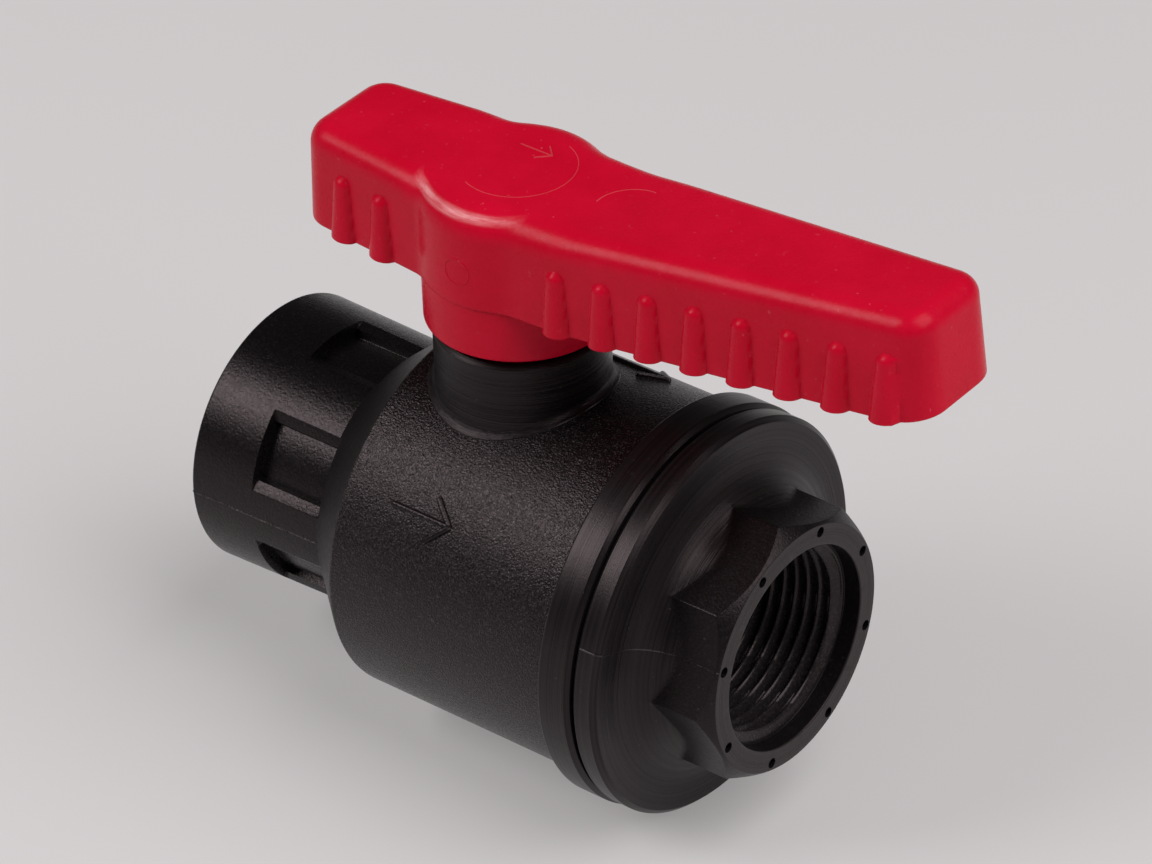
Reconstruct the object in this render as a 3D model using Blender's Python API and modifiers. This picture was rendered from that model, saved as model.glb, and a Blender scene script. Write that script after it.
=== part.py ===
"""Threaded seacock ball valve with a quarter-turn lever handle.

Frame: origin at the ball's centre, +X along the bore towards the octagonal end adapter, +Z up the stem.
The handle is in line with the bore, so the valve is open. Run with blender --background --python part.py
Lengths are written in millimetres and turned into metres by MM.
"""

import math

import bmesh
import bpy
from mathutils import Matrix, Vector

MM = 0.001
GAP = 0.3            # running clearance between neighbouring pieces
FINE = 40            # facets of the large turned pieces
SMALL = 24           # facets of the stem and of the sealing rings
MERGE = 0.000001

# Bore line, measured from the ball's centre
BODY_END = 41.2      # inlet face, on the -X side
ADAPTER_END = 41.7   # outlet face, on the +X side
FLOW_R = 10.0
THREAD_R = 12.06     # crest radius of a G 3/4 internal thread
MOUTH_R = 13.6
MOUTH_DEPTH = 2.5
THREAD_INNER = 24.2  # where the port thread stops

# Ball and seats
BALL_R = 16.5
SLOT_WIDTH = 6.0
SLOT_FLOOR = 12.2
SEAT_R = 14.6
SEAT_BORE_R = 10.3
SEAT_LIP_R = 14.1
SEAT_BACK = 15.2
POCKET_R = SEAT_R + GAP
POCKET_START = 10.8
POCKET_FLOOR = SEAT_BACK + GAP
SEAT_RING_MINOR_R = 0.9
SEAT_RING_MAJOR_R = 12.6

# Valve body
BODY_R = 25.05
BODY_BACK = 12.3
SOCKET_R_END = 18.3
SOCKET_R_ROOT = 17.8
SOCKET_ROOT = 20.6
COLLAR_R = 26.7
COLLAR_BACK = 22.15
COLLAR_FACE = 26.8
CHAMBER_R = 17.2
SPIGOT_BORE_R = 20.4
BOSS_R = 11.1
BOSS_TOP = 32.9
POCKETS = 6
POCKET_SPAN = 35.0   # degrees round the socket
POCKET_DEPTH = 1.8
POCKET_LENGTH = 10.6

# End adapter
FLANGE_R = 26.4
FLANGE_BACK = COLLAR_FACE + 0.35
FLANGE_FACE = 30.65
SPIGOT_R = SPIGOT_BORE_R - GAP
OCTAGON_R = 18.2
OCTAGON_TURN = 2.5
OCTAGON_FACE_R = 16.5
OCTAGON_CHAMFER = 1.85
NECK_R = 16.4
NECK_FILLET = 5.5
BODY_RING_MINOR_R = 0.85
BODY_RING_GROOVE = (22.9, 25.2)
HOLES = 8
HOLE_CIRCLE_R = 15.5
HOLE_R = 0.7
HOLE_DEPTH = 1.5

# Stem
STEM_R = 6.6
STEM_BORE_R = STEM_R + GAP
STEM_GROOVE_R = 4.6
STEM_GROOVES = {"stem_o_ring_lower": 23.0, "stem_o_ring_upper": 27.6}
STEM_GROOVE_HEIGHT = 2.3
STEM_RING_MINOR_R = 0.85
STEM_COLLAR_R = 8.2
STEM_COLLAR = (17.1, 19.5)
WASHER_HEIGHT = 1.1
STEM_POCKET_TOP = STEM_COLLAR[1] + GAP + WASHER_HEIGHT + GAP
TANG = (5.4, 13.0)   # thickness along X, width along Y
DRIVE_SIDE = 8.6
DRIVE_FOOT = 33.4
DRIVE_TOP = 49.6

# Handle
HUB_R = 12.1
HEAD_R = 12.3                  # the hub's head stands a little proud of its skirt
HUB_FOOT = 34.3
ARM_FOOT = 41.4
HANDLE_TOP = 55.2
SHORT_END = -28.0
SHORT_HALF = (7.7, 9.8)        # half widths at the short end and at the hub
LONG_END = 65.4
LONG_HALF = (10.3, 7.2)        # half widths at the hub and at the tip
LONG_ROOT = 12.0
SHORT_ROOT = -8.0
END_CORNER_R = 4.0
BEND = 14.5                    # the long arm rises from here
RISE = math.tan(math.radians(6.6))
WALL = 2.0
SKIRT_WALL = 1.8
WEB = 1.6
LONG_WEBS = 4
HUB_POST_R = 7.5
TOP_BEVEL = 3.0
RIB_TOP_DROP = 4.9
RIB_R_TOP = 1.15
RIB_R_FOOT = 1.85
LONG_RIBS = (14.0, 6.7, 8)     # first rib, pitch, count
SHORT_RIBS = (-20.6, 6.55, 2)
STOP_R = 8.9
STOP_SIZE = (1.6, 2.4)         # radial and tangential size of the stop tooth and lugs
STOP_ANGLE = 90.0              # where the handle's tooth is when the valve is open
QUARTER_TURN = 90.0

MATERIALS = {
    "black_nylon": ((0.020, 0.019, 0.020, 1.0), 0.42),
    "red_nylon": ((0.58, 0.010, 0.022, 1.0), 0.38),
    "ball_plastic": ((0.72, 0.71, 0.68, 1.0), 0.25),
    "ptfe": ((0.82, 0.81, 0.78, 1.0), 0.45),
    "nitrile": ((0.015, 0.015, 0.016, 1.0), 0.65),
}


def clear_scene():
    """Remove every object, so that the script can run again in an open file."""
    for obj in list(bpy.data.objects):
        bpy.data.objects.remove(obj, do_unlink=True)


def make_collection(name):
    """Return a new collection that is linked to the scene."""
    collection = bpy.data.collections.new(name)
    bpy.context.scene.collection.children.link(collection)
    return collection


def make_material(name):
    """Return the Principled material of that name, making it the first time."""
    material = bpy.data.materials.get(name)
    if material is None:
        colour, roughness = MATERIALS[name]
        material = bpy.data.materials.new(name)
        material.use_nodes = True
        shader = material.node_tree.nodes["Principled BSDF"]
        shader.inputs["Base Color"].default_value = colour
        shader.inputs["Roughness"].default_value = roughness
        shader.inputs["Metallic"].default_value = 0.0
        material.diffuse_color = colour
    return material


def add_object(name, mesh):
    """Link a new object to the parts collection."""
    obj = bpy.data.objects.new(name, mesh)
    PARTS.objects.link(obj)
    return obj


def finish(obj, material):
    """Give a piece its material and smooth round faces."""
    obj.data.materials.clear()
    obj.data.materials.append(make_material(material))
    obj.data.shade_smooth()
    obj.data.set_sharp_from_angle(angle=math.radians(30))
    return obj


def as_mesh(obj):
    """Replace an object's mesh by its evaluated one, with the modifiers applied."""
    graph = bpy.context.evaluated_depsgraph_get()
    mesh = bpy.data.meshes.new_from_object(obj.evaluated_get(graph))
    obj.modifiers.clear()
    obj.data = mesh
    return obj


def runs_down(profile):
    """Order (axial, radius) points so that the outer side runs from top to bottom."""
    area = 0.0
    for (z0, r0), (z1, r1) in zip(profile, profile[1:] + profile[:1]):
        area += r0 * z1 - r1 * z0
    return profile if area < 0.0 else profile[::-1]


def turned(name, profile, axis="X", steps=FINE):
    """Revolve an (axial, radius) profile about the X or Z axis; it is solid if it reaches radius 0."""
    points = runs_down(list(profile))
    solid = min(radius for _, radius in points) < MERGE
    if solid:
        while not (points[0][1] < MERGE and points[-1][1] < MERGE):
            points = points[1:] + points[:1]
    count = len(points)
    edges = [(i, (i + 1) % count) for i in range(count - 1 if solid else count)]
    mesh = bpy.data.meshes.new(name)
    mesh.from_pydata([(r * MM, 0.0, z * MM) for z, r in points], edges, [])
    obj = add_object(name, mesh)
    screw = obj.modifiers.new("Turn", "SCREW")
    screw.axis = "Z"
    screw.angle = math.tau
    screw.steps = steps
    screw.render_steps = steps
    screw.use_merge_vertices = True
    screw.merge_threshold = MERGE
    as_mesh(obj)
    if axis == "X":
        obj.data.transform(Matrix.Rotation(math.radians(90.0), 4, "Y"))
    return obj


def mesh_object(name, bm):
    """Turn a bmesh into an object and free it."""
    mesh = bpy.data.meshes.new(name)
    bm.to_mesh(mesh)
    bm.free()
    return add_object(name, mesh)


def box(name, low, high):
    """A box between two corners in millimetres."""
    low = Vector(low) * MM
    high = Vector(high) * MM
    bm = bmesh.new()
    bmesh.ops.create_cube(bm, size=1.0)
    bmesh.ops.scale(bm, vec=high - low, verts=bm.verts)
    bmesh.ops.translate(bm, vec=(high + low) / 2.0, verts=bm.verts)
    return mesh_object(name, bm)


def cylinder(
    name, radius, low, high, axis="Z", centre=(0.0, 0.0), steps=SMALL, top_radius=None, turn=0.0
):
    """A cylinder or cone between two heights on an axis parallel to X or Z, all in millimetres."""
    bm = bmesh.new()
    bmesh.ops.create_cone(
        bm,
        cap_ends=True,
        segments=steps,
        radius1=radius * MM,
        radius2=(radius if top_radius is None else top_radius) * MM,
        depth=(high - low) * MM,
    )
    bmesh.ops.rotate(bm, matrix=Matrix.Rotation(math.radians(turn), 3, "Z"), verts=bm.verts)
    bmesh.ops.translate(bm, vec=(0.0, 0.0, (high + low) / 2.0 * MM), verts=bm.verts)
    if axis == "X":
        bmesh.ops.rotate(bm, matrix=Matrix.Rotation(math.radians(90.0), 3, "Y"), verts=bm.verts)
        offset = Vector((0.0, centre[0], centre[1]))
    else:
        offset = Vector((centre[0], centre[1], 0.0))
    bmesh.ops.translate(bm, vec=offset * MM, verts=bm.verts)
    return mesh_object(name, bm)


def combine(target, tools, operation):
    """Apply a Boolean with each tool in turn, and keep the tools as hidden cutters."""
    for tool in tools:
        modifier = target.modifiers.new(operation.title(), "BOOLEAN")
        modifier.operation = operation
        modifier.solver = "EXACT"
        modifier.object = tool
    bpy.context.view_layer.update()
    as_mesh(target)
    for tool in tools:
        PARTS.objects.unlink(tool)
        CUTTERS.objects.link(tool)
        tool.hide_render = True
        tool.display_type = "WIRE"
    return target


def join(name, objects):
    """Merge separate meshes into one object, without any Boolean."""
    bm = bmesh.new()
    for obj in objects:
        bm.from_mesh(obj.data)
        bpy.data.objects.remove(obj, do_unlink=True)
    return mesh_object(name, bm)


def spun(obj, degrees, axis="Z"):
    """Turn a mesh about an axis through the origin."""
    obj.data.transform(Matrix.Rotation(math.radians(degrees), 4, axis))
    return obj


def arc(centre, radius, start, end, count):
    """Points along an arc, with angles in degrees."""
    points = []
    for i in range(count + 1):
        angle = math.radians(start + (end - start) * i / count)
        points.append((centre[0] + radius * math.cos(angle), centre[1] + radius * math.sin(angle)))
    return points


# ---------------------------------------------------------------- bore line


def port_profile(face, overshoot=1.0):
    """The space inside a port, from the seat pocket out to the mouth, as (distance, radius)."""
    groove = (SEAT_RING_MAJOR_R - SEAT_RING_MINOR_R - GAP, SEAT_RING_MAJOR_R + SEAT_RING_MINOR_R + GAP)
    groove_floor = POCKET_FLOOR + 2.0 * SEAT_RING_MINOR_R + GAP
    return [
        (POCKET_START, POCKET_R),
        (POCKET_FLOOR, POCKET_R),
        (POCKET_FLOOR, groove[1]),
        (groove_floor, groove[1]),
        (groove_floor, groove[0]),
        (POCKET_FLOOR, groove[0]),
        (POCKET_FLOOR, FLOW_R),
        (THREAD_INNER - 1.0, FLOW_R),
        (THREAD_INNER, THREAD_R),
        (face - MOUTH_DEPTH, THREAD_R),
        (face - MOUTH_DEPTH, MOUTH_R),
        (face + overshoot, MOUTH_R),
        (face + overshoot, 0.0),
    ]


def flipped(profile):
    """The same profile on the other side of the ball."""
    return [(-z, r) for z, r in profile]


def socket_pockets():
    """Cutters for the wrench pockets, which open towards the shoulder cone."""
    blocks = []
    for i in range(POCKETS):
        floor_r = SOCKET_R_ROOT - POCKET_DEPTH
        far_r = SOCKET_R_ROOT + 3.0
        half = POCKET_SPAN / 2.0
        section = arc((0.0, 0.0), floor_r, -half, half, 4) + arc((0.0, 0.0), far_r, half, -half, 4)
        bm = bmesh.new()
        start = -SOCKET_ROOT - POCKET_LENGTH
        face = bm.faces.new([bm.verts.new((start * MM, y * MM, z * MM)) for y, z in section])
        ring = bmesh.ops.extrude_face_region(bm, geom=[face])["geom"]
        moved = [item for item in ring if isinstance(item, bmesh.types.BMVert)]
        bmesh.ops.translate(bm, vec=((POCKET_LENGTH + 0.6) * MM, 0.0, 0.0), verts=moved)
        bmesh.ops.recalc_face_normals(bm, faces=bm.faces)
        blocks.append(spun(mesh_object(f"pocket_{i}", bm), 90.0 + i * 360.0 / POCKETS, "X"))
    return join("socket_pockets", blocks)


def stop_block(name, degrees, low, high):
    """A small radial block at the stop radius."""
    radial, tangential = STOP_SIZE
    block = box(
        name,
        (STOP_R - radial / 2.0, -tangential / 2.0, low),
        (STOP_R + radial / 2.0, tangential / 2.0, high),
    )
    return spun(block, degrees)


def stop_lugs():
    """The two lugs on the boss between which the handle's tooth swings a quarter turn clockwise."""
    clear_angle = math.degrees((STOP_SIZE[1] + GAP) / (STOP_R - STOP_SIZE[0] / 2.0))
    low = BOSS_TOP - 1.0
    high = HUB_FOOT + 1.6
    return join(
        "stop_lugs",
        [
            stop_block("lug_open", STOP_ANGLE + clear_angle, low, high),
            stop_block("lug_closed", STOP_ANGLE - QUARTER_TURN - clear_angle, low, high),
        ],
    )


def valve_body():
    """Body: threaded socket, shoulder cone, chamber, collar and stem boss in one moulding."""
    outer = turned(
        "valve_body",
        [
            (-BODY_END, 0.0),
            (-BODY_END, SOCKET_R_END - 0.4),
            (-BODY_END + 0.4, SOCKET_R_END),
            (-SOCKET_ROOT, SOCKET_R_ROOT),
            (-BODY_BACK, BODY_R - 0.15),
            (-BODY_BACK + 0.5, BODY_R),
            (COLLAR_BACK, BODY_R),
            (COLLAR_BACK, COLLAR_R - 0.3),
            (COLLAR_BACK + 0.3, COLLAR_R),
            (COLLAR_FACE - 0.6, COLLAR_R),
            (COLLAR_FACE, COLLAR_R - 0.6),
            (COLLAR_FACE, 0.0),
        ],
    )
    boss = turned(
        "boss",
        [(0.0, 0.0), (0.0, BOSS_R), (BOSS_TOP - 0.4, BOSS_R), (BOSS_TOP, BOSS_R - 0.4), (BOSS_TOP, 0.0)],
        axis="Z",
        steps=FINE,
    )
    combine(outer, [boss, stop_lugs()], "UNION")
    chamber = turned(
        "chamber",
        flipped(port_profile(BODY_END))[::-1]
        + [
            (-POCKET_START, CHAMBER_R),
            (POCKET_START, CHAMBER_R),
            (POCKET_START, SPIGOT_BORE_R),
            (COLLAR_FACE - 0.6, SPIGOT_BORE_R),
            (COLLAR_FACE, SPIGOT_BORE_R + 0.6),
            (COLLAR_FACE + 1.0, SPIGOT_BORE_R + 0.6),
            (COLLAR_FACE + 1.0, 0.0),
        ],
    )
    stem_bore = turned(
        "stem_bore",
        [
            (SLOT_FLOOR, 0.0),
            (SLOT_FLOOR, STEM_COLLAR_R + GAP),
            (STEM_POCKET_TOP, STEM_COLLAR_R + GAP),
            (STEM_POCKET_TOP, STEM_BORE_R),
            (BOSS_TOP + 1.0, STEM_BORE_R),
            (BOSS_TOP + 1.0, 0.0),
        ],
        axis="Z",
        steps=SMALL,
    )
    combine(outer, [chamber, stem_bore, socket_pockets()], "DIFFERENCE")
    return finish(outer, "black_nylon")


def neck_fillet():
    """Concave blend from the flange face to the neck, as (axial, radius)."""
    centre = (FLANGE_FACE + NECK_FILLET, NECK_R + NECK_FILLET)
    return arc(centre, NECK_FILLET, 180.0, 270.0, 5)


def octagon():
    """Octagonal wrench form with a coned front edge."""
    prism = cylinder(
        "octagon", OCTAGON_R, FLANGE_FACE - 0.5, ADAPTER_END, axis="X", steps=8, turn=OCTAGON_TURN - 90.0
    )
    cone = turned(
        "octagon_cone",
        [
            (FLANGE_FACE - 1.0, 0.0),
            (FLANGE_FACE - 1.0, OCTAGON_R + 1.0),
            (ADAPTER_END - OCTAGON_CHAMFER, OCTAGON_R + 1.0),
            (ADAPTER_END - OCTAGON_CHAMFER, OCTAGON_R),
            (ADAPTER_END, OCTAGON_FACE_R),
            (ADAPTER_END, 0.0),
        ],
    )
    return combine(prism, [cone], "INTERSECT")


def face_holes():
    """The ring of small blind holes in the outlet face, one in the middle of each flat."""
    holes = []
    for i in range(HOLES):
        angle = math.radians(OCTAGON_TURN + (i + 0.5) * 360.0 / HOLES)
        centre = (HOLE_CIRCLE_R * math.cos(angle), HOLE_CIRCLE_R * math.sin(angle))
        holes.append(
            cylinder(f"hole_{i}", HOLE_R, ADAPTER_END - HOLE_DEPTH, ADAPTER_END + 1.0, "X", centre, steps=8)
        )
    return join("face_holes", holes)


def end_adapter():
    """Adapter: spigot, ring groove, flange, concave neck and octagonal threaded end."""
    groove_floor = SPIGOT_BORE_R - 2.0 * BODY_RING_MINOR_R - 2.0 * GAP
    outer = turned(
        "end_adapter",
        [
            (POCKET_START, 0.0),
            (POCKET_START, SPIGOT_R - 0.5),
            (POCKET_START + 0.5, SPIGOT_R),
            (BODY_RING_GROOVE[0], SPIGOT_R),
            (BODY_RING_GROOVE[0], groove_floor - GAP),
            (BODY_RING_GROOVE[1], groove_floor - GAP),
            (BODY_RING_GROOVE[1], SPIGOT_R),
            (FLANGE_BACK, SPIGOT_R),
            (FLANGE_BACK, FLANGE_R - 0.5),
            (FLANGE_BACK + 0.5, FLANGE_R),
            (FLANGE_FACE - 0.7, FLANGE_R),
            (FLANGE_FACE, FLANGE_R - 0.7),
        ]
        + neck_fillet()
        + [(ADAPTER_END - 1.0, NECK_R), (ADAPTER_END - 1.0, 0.0)],
    )
    combine(outer, [octagon()], "UNION")
    entry = [(POCKET_START - 1.0, 0.0), (POCKET_START - 1.0, POCKET_R)]
    passage = turned("passage", entry + port_profile(ADAPTER_END)[1:])
    combine(outer, [passage, face_holes()], "DIFFERENCE")
    return finish(outer, "black_nylon")


def ball():
    """Ball with a through bore along X and a slot across its top along Y."""
    bm = bmesh.new()
    bmesh.ops.create_uvsphere(bm, u_segments=32, v_segments=16, radius=BALL_R * MM)
    sphere = mesh_object("ball", bm)
    flow = cylinder("ball_bore", FLOW_R, -BALL_R - 1.0, BALL_R + 1.0, axis="X", steps=FINE)
    slot = box(
        "ball_slot",
        (-SLOT_WIDTH / 2.0, -BALL_R - 1.0, SLOT_FLOOR),
        (SLOT_WIDTH / 2.0, BALL_R + 1.0, BALL_R + 1.0),
    )
    combine(sphere, [flow, slot], "DIFFERENCE")
    return finish(sphere, "ball_plastic")


def seat_profile():
    """Seat ring section: a hollow spherical face towards the ball, as (distance, radius)."""
    reach = BALL_R + GAP
    face = []
    for i in range(5):
        radius = SEAT_BORE_R + (SEAT_LIP_R - SEAT_BORE_R) * i / 4.0
        face.append((math.sqrt(reach * reach - radius * radius), radius))
    return face + [(face[-1][0], SEAT_R), (SEAT_BACK, SEAT_R), (SEAT_BACK, SEAT_BORE_R)]


def ring_profile(major, minor, height, count=6):
    """Round section of a sealing ring, as (axial, radius)."""
    return [(height + z, major + r) for r, z in arc((0.0, 0.0), minor, 0.0, 360.0, count)[:-1]]


def seals_and_seats():
    """Seats with their backing rings on both sides of the ball, and the adapter's body ring."""
    back = POCKET_FLOOR + SEAT_RING_MINOR_R
    ring = ring_profile(SEAT_RING_MAJOR_R, SEAT_RING_MINOR_R, back)
    finish(turned("seat_outlet", seat_profile()), "ptfe")
    finish(turned("seat_inlet", flipped(seat_profile())), "ptfe")
    finish(turned("seat_ring_outlet", ring, steps=SMALL), "nitrile")
    finish(turned("seat_ring_inlet", flipped(ring), steps=SMALL), "nitrile")
    middle = sum(BODY_RING_GROOVE) / 2.0
    major = SPIGOT_BORE_R - GAP - BODY_RING_MINOR_R - 0.15
    finish(turned("adapter_o_ring", ring_profile(major, BODY_RING_MINOR_R, middle)), "nitrile")


# --------------------------------------------------------------- stem line


def stem_profile():
    """Outline of the stem from its collar up to the foot of the square drive, as (height, radius)."""
    points = [
        (STEM_COLLAR[0], 0.0),
        (STEM_COLLAR[0], STEM_COLLAR_R),
        (STEM_COLLAR[1], STEM_COLLAR_R),
        (STEM_COLLAR[1], STEM_R),
    ]
    for foot in STEM_GROOVES.values():
        top = foot + STEM_GROOVE_HEIGHT
        points += [(foot, STEM_R), (foot, STEM_GROOVE_R), (top, STEM_GROOVE_R), (top, STEM_R)]
    return points + [(DRIVE_FOOT, STEM_R), (DRIVE_FOOT, 0.0)]


def stem():
    """Blow-out proof stem: tang in the ball's slot, collar, two ring grooves and a square drive."""
    shaft = turned("stem", stem_profile(), axis="Z", steps=SMALL)
    tang = box(
        "tang",
        (-TANG[0] / 2.0, -TANG[1] / 2.0, SLOT_FLOOR + GAP),
        (TANG[0] / 2.0, TANG[1] / 2.0, STEM_COLLAR[0] + 1.0),
    )
    half = DRIVE_SIDE / 2.0
    drive = box("drive", (-half, -half, DRIVE_FOOT - 1.0), (half, half, DRIVE_TOP))
    combine(shaft, [tang, drive], "UNION")
    return finish(shaft, "black_nylon")


def stem_seals():
    """Stem sealing rings and the washer that the stem's collar bears on."""
    major = STEM_BORE_R - GAP - STEM_RING_MINOR_R
    pieces = []
    for name, foot in STEM_GROOVES.items():
        section = ring_profile(major, STEM_RING_MINOR_R, foot + STEM_GROOVE_HEIGHT / 2.0)
        pieces.append(finish(turned(name, section, axis="Z", steps=SMALL), "nitrile"))
    low = STEM_COLLAR[1] + GAP
    high = low + WASHER_HEIGHT
    inner = STEM_R + GAP
    section = [(low, inner), (low, STEM_COLLAR_R), (high, STEM_COLLAR_R), (high, inner)]
    pieces.append(finish(turned("thrust_washer", section, axis="Z", steps=SMALL), "ptfe"))
    return pieces


# ------------------------------------------------------------------ handle


def half_width(x):
    """Half width of the handle's arms at a distance along them."""
    if x < 0.0:
        start, end, (first, last) = SHORT_END, SHORT_ROOT, SHORT_HALF
    else:
        start, end, (first, last) = LONG_ROOT, LONG_END, LONG_HALF
    return first + (last - first) * (x - start) / (end - start)


def handle_outline(inset):
    """Plan outline of the handle, moved inwards by inset, as a closed list of (x, y)."""
    corner = max(END_CORNER_R - inset, 1.0)
    short_x = SHORT_END + inset
    long_x = LONG_END - inset
    side = arc((short_x + corner, half_width(short_x) - inset - corner), corner, 180.0, 96.0, 3)
    side += arc((0.0, 0.0), HEAD_R - inset, 132.0, 48.0, 7)
    side += [(LONG_ROOT, LONG_HALF[0] - inset)]
    side += arc((long_x - corner, half_width(long_x) - inset - corner), corner, 87.0, 0.0, 3)
    return side + [(x, -y) for x, y in reversed(side)]


def flat_outline(name, outline, low, high):
    """A prism of a plan outline between two heights, from a filled 2D curve."""
    curve = bpy.data.curves.new(name, "CURVE")
    curve.dimensions = "2D"
    curve.fill_mode = "BOTH"
    curve.extrude = (high - low) / 2.0 * MM
    spline = curve.splines.new("POLY")
    spline.points.add(len(outline) - 1)
    for point, (x, y) in zip(spline.points, outline):
        point.co = (x * MM, y * MM, 0.0, 1.0)
    spline.use_cyclic_u = True
    guide = bpy.data.objects.new(name + "_curve", curve)
    PARTS.objects.link(guide)
    bpy.context.view_layer.update()
    graph = bpy.context.evaluated_depsgraph_get()
    mesh = bpy.data.meshes.new_from_object(guide.evaluated_get(graph))
    bpy.data.objects.remove(guide, do_unlink=True)
    bm = bmesh.new()
    bm.from_mesh(mesh)
    bmesh.ops.remove_doubles(bm, verts=bm.verts, dist=MERGE)
    bmesh.ops.translate(bm, vec=(0.0, 0.0, (high + low) / 2.0 * MM), verts=bm.verts)
    bmesh.ops.recalc_face_normals(bm, faces=bm.faces)
    return mesh_object(name, bm)


def lifted(obj):
    """Split a mesh at the bend and let everything past it rise with the long arm."""
    bm = bmesh.new()
    bm.from_mesh(obj.data)
    bmesh.ops.bisect_plane(
        bm,
        geom=bm.verts[:] + bm.edges[:] + bm.faces[:],
        dist=MERGE,
        plane_co=(BEND * MM, 0.0, 0.0),
        plane_no=(1.0, 0.0, 0.0),
    )
    for vert in bm.verts:
        vert.co.z += max(0.0, vert.co.x - BEND * MM) * RISE
    bm.to_mesh(obj.data)
    bm.free()
    return obj


def arm_shell():
    """Outside of the two arms and the hub's head, with a rounded top edge."""
    shell = flat_outline("handle", handle_outline(0.0), ARM_FOOT, HANDLE_TOP)
    bm = bmesh.new()
    bm.from_mesh(shell.data)
    bmesh.ops.dissolve_limit(bm, angle_limit=math.radians(0.5), verts=bm.verts, edges=bm.edges)
    rim = [edge for edge in bm.edges if min(vert.co.z for vert in edge.verts) > (HANDLE_TOP - 0.1) * MM]
    bmesh.ops.bevel(
        bm, geom=rim, offset=TOP_BEVEL * MM, offset_type="OFFSET", segments=2, profile=0.5, affect="EDGES"
    )
    bm.to_mesh(shell.data)
    bm.free()
    return lifted(shell)


def side_ribs():
    """Tapered half-round grip ribs along both sides of both arms."""
    ribs = []
    for first, pitch, count in (LONG_RIBS, SHORT_RIBS):
        for i in range(count):
            x = first + pitch * i
            for side in (-1.0, 1.0):
                y = side * (half_width(x) - 0.5)
                rib = cylinder(
                    "rib",
                    RIB_R_FOOT,
                    ARM_FOOT + 0.1,
                    HANDLE_TOP - RIB_TOP_DROP,
                    centre=(x, y),
                    steps=8,
                    top_radius=RIB_R_TOP,
                )
                rib.data.transform(Matrix.Translation((0.0, 0.0, max(0.0, x - BEND) * RISE * MM)))
                ribs.append(rib)
    return join("side_ribs", ribs)


def underside():
    """The coring under the arms, up to the top wall."""
    return lifted(flat_outline("coring", handle_outline(WALL), ARM_FOOT - 1.0, HANDLE_TOP - WALL - 0.4))


def skirt():
    """Round wall of the hub, from its foot up into the top wall."""
    high = HANDLE_TOP - TOP_BEVEL
    inner = HUB_R - SKIRT_WALL
    return turned("skirt", [(HUB_FOOT, inner), (HUB_FOOT, HUB_R), (high, HUB_R), (high, inner)], axis="Z")


def webs():
    """Stiffening webs in the coring: one lengthwise in each arm and the rest crosswise."""
    half = WEB / 2.0
    low = ARM_FOOT + 1.0
    high = HANDLE_TOP - WALL
    pieces = [
        box("web_long", (HUB_POST_R - 1.0, -half, low), (LONG_END - WALL + 0.5, half, high)),
        box("web_short", (SHORT_END + WALL - 0.5, -half, low), (1.0 - HUB_POST_R, half, high)),
    ]
    for web in pieces:
        lifted(web)
    spacing = (LONG_END - WALL - HUB_R) / (LONG_WEBS + 1)
    crosswise = [HUB_R + spacing * (i + 1) for i in range(LONG_WEBS)]
    crosswise.append(SHORT_RIBS[0] + SHORT_RIBS[1] / 2.0)
    for x in crosswise:
        reach = half_width(x) - WALL + 0.5
        web = box("web_cross", (x - half, -reach, low + 0.6), (x + half, reach, high))
        web.data.transform(Matrix.Translation((0.0, 0.0, max(0.0, x - BEND) * RISE * MM)))
        pieces.append(web)
    return pieces


def handle():
    """Lever handle: cored arms, grip ribs, round hub skirt, square socket and stop tooth."""
    shell = combine(arm_shell(), [side_ribs()], "UNION")
    combine(shell, [underside()], "DIFFERENCE")
    post = cylinder("post", HUB_POST_R, HUB_FOOT + 0.5, HANDLE_TOP - WALL)
    tooth = stop_block("tooth", STOP_ANGLE, HUB_FOOT + 0.3, HANDLE_TOP - WALL)
    combine(shell, [skirt(), post, tooth] + webs(), "UNION")
    half = DRIVE_SIDE / 2.0 + GAP
    socket = box("socket", (-half, -half, HUB_FOOT - 1.0), (half, half, DRIVE_TOP + GAP))
    combine(shell, [socket], "DIFFERENCE")
    return finish(shell, "red_nylon")


def on_stem_axis(objects):
    """Parent the turning pieces to an empty on the stem's axis."""
    pivot = bpy.data.objects.new("stem_axis", None)
    PARTS.objects.link(pivot)
    for obj in objects:
        obj.parent = pivot


clear_scene()
PARTS = make_collection("seacock_valve")
CUTTERS = make_collection("cutters")
valve_body()
end_adapter()
seals_and_seats()
on_stem_axis([ball(), stem(), handle()] + stem_seals())
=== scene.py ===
import math

import bmesh
import bpy
import numpy as np
from mathutils import Matrix, Vector


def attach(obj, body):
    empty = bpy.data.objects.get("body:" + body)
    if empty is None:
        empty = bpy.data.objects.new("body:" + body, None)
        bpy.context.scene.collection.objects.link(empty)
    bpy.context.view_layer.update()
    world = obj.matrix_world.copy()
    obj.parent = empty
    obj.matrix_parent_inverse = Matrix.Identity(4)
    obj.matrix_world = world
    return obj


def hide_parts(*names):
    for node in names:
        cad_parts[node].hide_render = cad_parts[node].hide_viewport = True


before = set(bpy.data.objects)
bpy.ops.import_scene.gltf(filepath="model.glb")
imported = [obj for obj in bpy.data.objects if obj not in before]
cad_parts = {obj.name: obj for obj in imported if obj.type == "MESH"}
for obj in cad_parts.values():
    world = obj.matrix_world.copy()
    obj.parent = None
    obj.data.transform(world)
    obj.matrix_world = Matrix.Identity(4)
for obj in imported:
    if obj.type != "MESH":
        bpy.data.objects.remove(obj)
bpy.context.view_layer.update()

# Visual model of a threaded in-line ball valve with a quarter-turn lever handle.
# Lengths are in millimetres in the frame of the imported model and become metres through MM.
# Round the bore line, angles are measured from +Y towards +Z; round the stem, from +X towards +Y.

MM = 0.001

# ---------------------------------------------------------------- dimensions

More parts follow.
